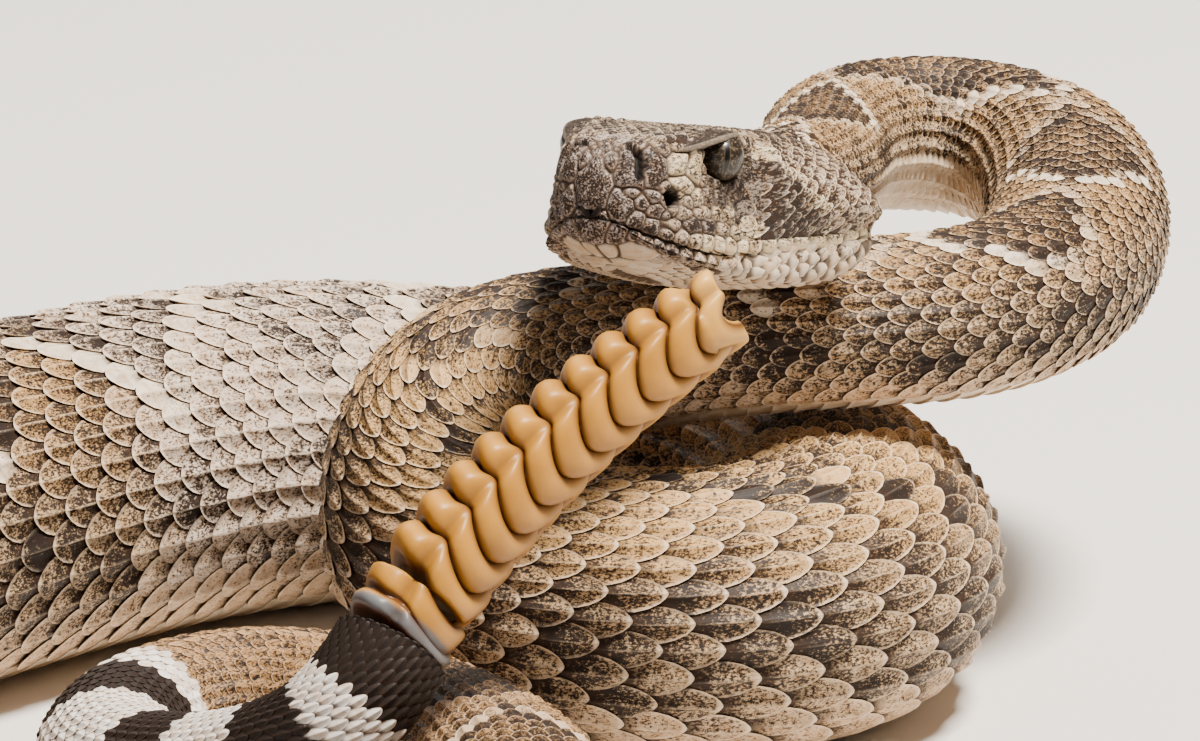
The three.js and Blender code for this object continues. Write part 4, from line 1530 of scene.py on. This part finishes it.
def build_rattle():
    """The horn rings of the rattle, each with a knob above and a long lobe below, and a broken end."""
    look = bpy.context.scene.snake_rattle
    t = np.linspace(0, 1, AXIS_SAMPLES)[:, None]
    axis = (1 - t) ** 2 * RATTLE_AXIS[0] + 2 * t * (1 - t) * RATTLE_AXIS[1] + t**2 * RATTLE_AXIS[2]
    steps = np.linalg.norm(np.diff(axis, axis=0), axis=1)
    s = np.concatenate([[0], np.cumsum(steps)])
    along = unit(np.gradient(axis, s, axis=0))
    up = unit(np.array([0, 0, 1.0]) - along * along[:, 2:3])
    side = np.cross(along, up)
    angle = np.arange(RING_COLUMNS) / RING_COLUMNS * 2 * math.pi
    flank, top = np.sin(angle), np.cos(angle)
    high = np.cos(angle + RATTLE_ROLL)
    shift = np.interp(high, SEAM_HEIGHTS, SEAM_SHIFTS)
    shift = np.convolve(np.tile(shift, 3), np.ones(5) / 5, "same")[RING_COLUMNS : 2 * RING_COLUMNS]
    groove = np.exp(-(((high - KNOB_FOOT) / 0.15) ** 2))
    material = horn_material("horn")

    def loft(name, edges, replaces, bulge=1.0, ragged=0.0):
        """A row of rings between the edges; a ragged one is broken and hollow at its end."""
        count = len(edges) - 1
        pitch = np.repeat(np.diff(edges), len(RING_SHARES))[:, None]
        share = np.tile(RING_SHARES, count)[:, None]
        swell = np.tile(RING_SWELLS, count)[:, None]
        at = np.repeat(edges[:-1], len(RING_SHARES))[:, None] + (share + shift[None]) * pitch
        at = np.clip(at, edges[0], edges[-1] + ragged)
        far = at / s[-1]
        swell = 1 - (1 - swell) * (0.72 + 0.38 * smooth(0.3, 0.7, high))[None] * bulge
        last = smooth(edges[-2] + pitch * 0.02, edges[-2] + pitch * 0.1, at) * (ragged > 0)
        jag = 1.2 * np.abs(high) ** 2 - 0.4 + 0.2 * np.sin(7 * angle + 1.2)
        swell = swell * (1 - last * (0.09 - 0.04 * np.sin(5 * angle)[None]))
        tall = (look.tall_base + (look.tall_tip - look.tall_base) * far) / MM * swell
        thick = (look.thick_base + (look.thick_tip - look.thick_base) * far) / MM * swell
        waist = 1 - 0.2 * groove[None] * (1 - 0.5 * smooth(0.3, 1.0, share))
        points = (
            sample(at, s, axis)
            + sample(at, s, along) * (last * jag[None] * share)[..., None]
            + sample(at, s, up) * (tall / 2 * top[None] * waist)[..., None]
            + sample(at, s, side) * (thick / 2 * flank[None] * waist * 1.04)[..., None]
        )
        # painted shade: dark in the seams and the groove under each knob, at each ring's lower end, and
        # darker towards the underside
        edge = np.maximum(1 - smooth(0.76, 1.06, np.tile(RING_SWELLS, count))[:, None], 0.35 * groove[None])
        edge = np.maximum(edge, 0.8 * smooth(0.5, 0.0, share) * smooth(-0.4, -0.9, high)[None])
        edge = np.maximum(edge, 0.2 * smooth(0.4, -0.9, high)[None])
        if ragged:
            middle = points[-1].mean(0)
            inner = middle + (points[-1] - middle) * 0.8
            points = np.concatenate([points, inner[None], (inner - along[-1] * CUP_DEPTH)[None]])
            # painted shade inside the broken end's cup
            edge = np.concatenate([edge, *(np.full((1, RING_COLUMNS), dark) for dark in (0.1, 0.9))])
            at = np.concatenate([at, at[-1:], at[-1:]])
        rows = len(points)
        u, v = np.meshgrid(np.arange(rows) / rows, np.arange(RING_COLUMNS) / RING_COLUMNS, indexing="ij")
        at = at.ravel()
        old = smooth(ROOT_RING_END - 0.3, ROOT_RING_END + 0.5, at)
        tone = blend_in(colour("new_horn"), colour("horn"), old)
        tone = blend_in(tone, colour("worn_horn"), smooth(s[-1] - WORN_STRETCH, s[-1], at) * 0.7)
        obj = new_mesh(
            name,
            to_metres(points.reshape(-1, 3)),
            tube_faces(rows, RING_COLUMNS),
            [material],
            uv=np.stack([u.ravel(), v.ravel()], 1),
            colours={"tone": tone},
            floats={"edge": edge.ravel() * 0.92},
        )
        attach(obj, "root")
        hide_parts(replaces)

    split = look.root_ring / MM
    root_edges = np.array([RATTLE_START, ROOT_RING_END, split])
    loft("rattle_root_ring", root_edges, "rattle_base", bulge=ROOT_RING_BULGE)
    edges = np.linspace(split + RATTLE_GAP, s[-1], look.rings + 1)
    loft("rattle_rings", edges, "rattle", ragged=RAGGED_REACH)


FLOOR_REACH = 3.0  # metres from the middle to its edges
CAMERA_AIM = np.array([0, 14.98, 52.2])  # below the head, in the body's millimetres
SENSOR_WIDTH = 36.0
PICTURE_WIDTH = 1200 / 7.85 * MM  # the photograph's pixels across, at 7.85 of them to a millimetre
SKY_COLOUR = (0.9, 0.93, 1.0, 1)
# Each lamp: its name, its place from the camera's aim in metres, its size and its colour
LAMPS = (
    ("key", (0.55, -0.16, 1.66), 0.4, (1.0, 0.94, 0.85)),
    ("fill", (-1.3, -1.5, 0.6), 1.4, (0.92, 0.96, 1.0)),
    ("back", (-0.3, 1.5, 1.3), 0.9, (1.0, 0.98, 0.95)),
)


def build_stage():
    """Pale floor, soft studio light and the camera."""
    look = bpy.context.scene.snake_stage
    mesh = bpy.data.meshes.new("floor")
    corners = [(x * FLOOR_REACH, y * FLOOR_REACH, 0) for x, y in ((-1, -1), (1, -1), (1, 1), (-1, 1))]
    mesh.from_pydata(corners, [], [(0, 1, 2, 3)])
    floor = bpy.data.objects.new("floor", mesh)
    bpy.context.scene.collection.objects.link(floor)
    material, _, shader = new_material("pale floor")
    set_finish(shader, Base_Color=(*look.floor_colour[:3], 1), Roughness=0.8)
    mesh.materials.append(material)

    tilt = look.camera_tilt
    aim = to_metres(CAMERA_AIM)
    view = np.array([0, math.cos(tilt), -math.sin(tilt)])
    data = bpy.data.cameras.new("camera")
    camera = bpy.data.objects.new("camera", data)
    bpy.context.scene.collection.objects.link(camera)
    camera.location = Vector(aim - view * look.camera_distance)
    camera.rotation_euler = (math.pi / 2 - tilt, 0, 0)
    data.sensor_width = SENSOR_WIDTH
    data.lens = SENSOR_WIDTH * look.camera_distance / look.frame_width
    data.clip_end = 20
    bpy.context.scene.camera = camera

    middle = Vector(aim)
    for name, place, size, shade in LAMPS:
        lamp = bpy.data.lights.new(f"{name} light", "AREA")
        lamp.size = size
        lamp.energy = getattr(look, f"{name}_power")
        lamp.color = shade
        obj = bpy.data.objects.new(f"{name} light", lamp)
        bpy.context.scene.collection.objects.link(obj)
        obj.location = middle + Vector(place)
        obj.rotation_euler = (middle - obj.location).to_track_quat("-Z", "Y").to_euler()
    world = bpy.data.worlds.new("studio")
    bpy.context.scene.world = world
    world.use_nodes = True
    set_finish(world.node_tree.nodes["Background"], Color=SKY_COLOUR, Strength=look.sky)


# Settings


def setting(name, description, default, **more):
    return FloatProperty(name=name, description=description, default=default, **more)


def length_setting(name, description, default):
    return setting(name, description, default, unit="LENGTH", subtype="DISTANCE")


def power(name, description, default):
    return setting(name, description, default, unit="POWER")


def tint(name, description, default):
    looks = {"subtype": "COLOR", "size": 3, "min": 0, "max": 1}
    return FloatVectorProperty(name=name, description=description, default=default, **looks)


class SnakeColours(bpy.types.PropertyGroup):
    ground: tint("Ground", "Colour of the back between its markings", (0.46, 0.265, 0.11))
    flank: tint("Flank", "Colour of the lower sides", (0.5, 0.345, 0.205))
    grey_flank: tint("Grey flank", "Side of the coil behind the rattle", (0.67, 0.55, 0.46))
    low_side: tint("Low side", "Lowest rows of scales, beside the belly", (0.68, 0.47, 0.3))
    belly: tint("Belly", "Colour of the belly scutes", (0.736, 0.602, 0.441))
    golden: tint("Golden", "Top of the front coil", (0.6, 0.36, 0.145))
    diamond: tint("Diamond", "Middle of each diamond", (0.288, 0.162, 0.07))
    pale_edge: tint("Pale edge", "White scales round each diamond", (0.7, 0.6, 0.47))
    tail_tan: tint("Tail tan", "Plain start of the tail", (0.34, 0.185, 0.08))
    tail_white: tint("Tail white", "White rings of the tail", (0.75, 0.7, 0.66))
    tail_black: tint("Tail black", "Black rings of the tail", (0.005, 0.0045, 0.005))
    fleck: tint("Fleck", "Dark flecks on the scales", (0.02, 0.0135, 0.011))
    cloud: tint("Cloud", "Warm clouding of the scales", (0.45, 0.23, 0.075))
    rim: tint("Rim", "Pale rims of the scales", (0.84, 0.7, 0.55))
    between: tint("Between", "Skin between the scales of the body", (0.17, 0.1, 0.05))
    # painted shade in the head's creases and over each scale's covered root
    crease_shade: tint("Crevice", "Skin in the creases of the head and under the scales", (0.034, 0.018, 0.011))
    # painted shade inside the nostrils, pits and mouth, and under the brows
    hollow: tint("Hollow", "Inside the nostrils, pits and mouth", (0.012, 0.009, 0.008))
    crown: tint("Crown", "Top of the head", (0.46, 0.35, 0.245))
    brow: tint("Brow", "Shields over the eyes", (0.16, 0.12, 0.088))
    cheek: tint("Cheek", "Sides of the head", (0.47, 0.36, 0.265))
    snout: tint("Snout", "Front of the snout", (0.36, 0.285, 0.25))
    eye_stripe: tint("Eye stripe", "Dark stripe behind the eye", (0.23, 0.18, 0.145))
    pale_line: tint("Pale line", "Pale lines beside the eye stripe", (0.66, 0.54, 0.36))
    throat: tint("Throat", "Lower jaw and throat", (0.53, 0.43, 0.325))
    iris: tint("Iris", "Iris", (0.013, 0.009, 0.006))
    iris_gold: tint("Iris gold", "Gold flecks in the iris", (0.16, 0.115, 0.065))
    horn: tint("Horn", "Old horn of the rattle", (0.5, 0.225, 0.026))
    worn_horn: tint("Worn horn", "Oldest horn, at the rattle's tip", (0.72, 0.4, 0.1))
    # darker clouding of the horn, and painted shade in its grooves
    horn_cloud_and_shade: tint("Horn groove", "Grooves of the rattle", (0.07, 0.018, 0.003))
    new_horn: tint("New horn", "Newest ring of the rattle", (0.13, 0.135, 0.14))


class SnakeMarkings(bpy.types.PropertyGroup):
    diamond_reach: setting("Diamond reach", "How far a diamond reaches on its way to the belly", 0.34)


class SnakeScales(bpy.types.PropertyGroup):
    head_depth: setting("Head depth", "How far the head's skin lies inside the solids, in mm", 0.4)
    body_depth: setting("Body depth", "How far the body's skin lies inside the solids, in mm", 0.9)
    first_scale: setting("First scale", "Where the body scales start, in mm", 14.0)
    dorsal_share: setting("Back share", "Share of the half round that the back's scales cover", 0.77)
    spread: setting("Spread", "How much wider the lowest rows are set than those on the spine", 0.12)
    overlap: setting("Overlap", "Scale length over its pitch", 1.42)
    breadth: setting("Breadth", "Scale width over its row spacing", 1.4)
    lift: setting("Lift", "How far a scale's tip stands off the skin, in mm", 0.9)
    keel: setting("Keel", "Height of the keel, in mm", 0.55)
    dome: setting("Dome", "How far a scale bulges, in mm", 0.15)
    thickness: setting("Thickness", "Thickness of a scale's edge, in mm", 0.24)


class SnakeRattle(bpy.types.PropertyGroup):
    root_ring: length_setting("Root ring", "Length of the newest ring", 0.007)
    rings: IntProperty(name="Rings", description="How many older rings follow it", default=11)
    tall_base: length_setting("Height at base", "Height of the rattle's first ring", 0.0169)
    tall_tip: length_setting("Height at tip", "Height of the rattle's last ring", 0.0118)
    thick_base: length_setting("Thickness at base", "Thickness of the first ring", 0.0115)
    thick_tip: length_setting("Thickness at tip", "Thickness of the last ring", 0.0085)


class SnakeStage(bpy.types.PropertyGroup):
    floor_colour: tint("Floor", "Colour of the floor", (0.72, 0.69, 0.65))
    camera_tilt: setting(
        "Camera tilt", "How far the camera looks down", math.radians(16), subtype="ANGLE", unit="ROTATION"
    )
    camera_distance: length_setting("Camera distance", "From the camera to the head", 1.49)
    frame_width: length_setting("Frame width", "Width of the picture at the head", PICTURE_WIDTH)
    key_power: power("Key light", "Power of the main light in watts", 126.0)
    fill_power: power("Fill light", "Power of the fill light in watts", 8.5)
    back_power: power("Back light", "Power of the light behind in watts", 10.0)
    sky: setting("Sky", "Strength of the light from all round", 0.105)


# Operators and panel


class SNAKE_OT_skin(bpy.types.Operator):
    """Build the skin of the head, body and tail"""

    bl_idname = "snake.skin"
    bl_label = "Skin"

    def execute(self, context):
        build_skin()
        return {"FINISHED"}


class SNAKE_OT_body_scales(bpy.types.Operator):
    """Lay the keeled scales over the body"""

    bl_idname = "snake.body_scales"
    bl_label = "Body scales"

    def execute(self, context):
        build_body_scales()
        return {"FINISHED"}


class SNAKE_OT_belly_scutes(bpy.types.Operator):
    """Lay the wide plates under the body"""

    bl_idname = "snake.belly_scutes"
    bl_label = "Belly scutes"

    def execute(self, context):
        build_belly_scutes()
        return {"FINISHED"}


class SNAKE_OT_head_scales(bpy.types.Operator):
    """Lay the small keeled scales over the back of the head"""

    bl_idname = "snake.head_scales"
    bl_label = "Head scales"

    def execute(self, context):
        build_head_scales()
        return {"FINISHED"}


class SNAKE_OT_eyes(bpy.types.Operator):
    """Set both eyes in their sockets, under their brow shields"""

    bl_idname = "snake.eyes"
    bl_label = "Eyes"

    def execute(self, context):
        build_eye("left", "eye_left")
        build_eye("right", "eye_right")
        build_brows()
        return {"FINISHED"}


class SNAKE_OT_rattle(bpy.types.Operator):
    """Build the rattle's rings"""

    bl_idname = "snake.rattle"
    bl_label = "Rattle"

    def execute(self, context):
        build_rattle()
        return {"FINISHED"}


class SNAKE_OT_stage(bpy.types.Operator):
    """Set the floor, lights and camera"""

    bl_idname = "snake.stage"
    bl_label = "Stage"

    def execute(self, context):
        build_stage()
        return {"FINISHED"}


STEPS = (
    SNAKE_OT_skin,
    SNAKE_OT_body_scales,
    SNAKE_OT_belly_scutes,
    SNAKE_OT_head_scales,
    SNAKE_OT_eyes,
    SNAKE_OT_rattle,
    SNAKE_OT_stage,
)
GROUPS = {
    "snake_colours": SnakeColours,
    "snake_markings": SnakeMarkings,
    "snake_scales": SnakeScales,
    "snake_rattle": SnakeRattle,
    "snake_stage": SnakeStage,
}


class SNAKE_PT_panel(bpy.types.Panel):
    """The snake's settings and steps"""

    bl_idname = "SNAKE_PT_panel"
    bl_label = "Rattlesnake"
    bl_space_type = "VIEW_3D"
    bl_region_type = "UI"
    bl_category = "Snake"

    def draw(self, context):
        for step in STEPS:
            self.layout.operator(step.bl_idname)
        for name, group in GROUPS.items():
            box = self.layout.box()
            box.label(text=name.replace("snake_", "").capitalize())
            for key in group.__annotations__:
                box.prop(getattr(context.scene, name), key)


CLASSES = (*GROUPS.values(), *STEPS, SNAKE_PT_panel)


def register():
    for cls in CLASSES:
        bpy.utils.register_class(cls)
    for name, group in GROUPS.items():
        setattr(bpy.types.Scene, name, PointerProperty(type=group))


def unregister():
    for name in GROUPS:
        delattr(bpy.types.Scene, name)
    for cls in reversed(CLASSES):
        bpy.utils.unregister_class(cls)


def main():
    register()
    bpy.ops.snake.skin()
    bpy.ops.snake.body_scales()
    bpy.ops.snake.belly_scutes()
    bpy.ops.snake.head_scales()
    bpy.ops.snake.eyes()
    bpy.ops.snake.rattle()
    bpy.ops.snake.stage()


if __name__ == "__main__":
    main()
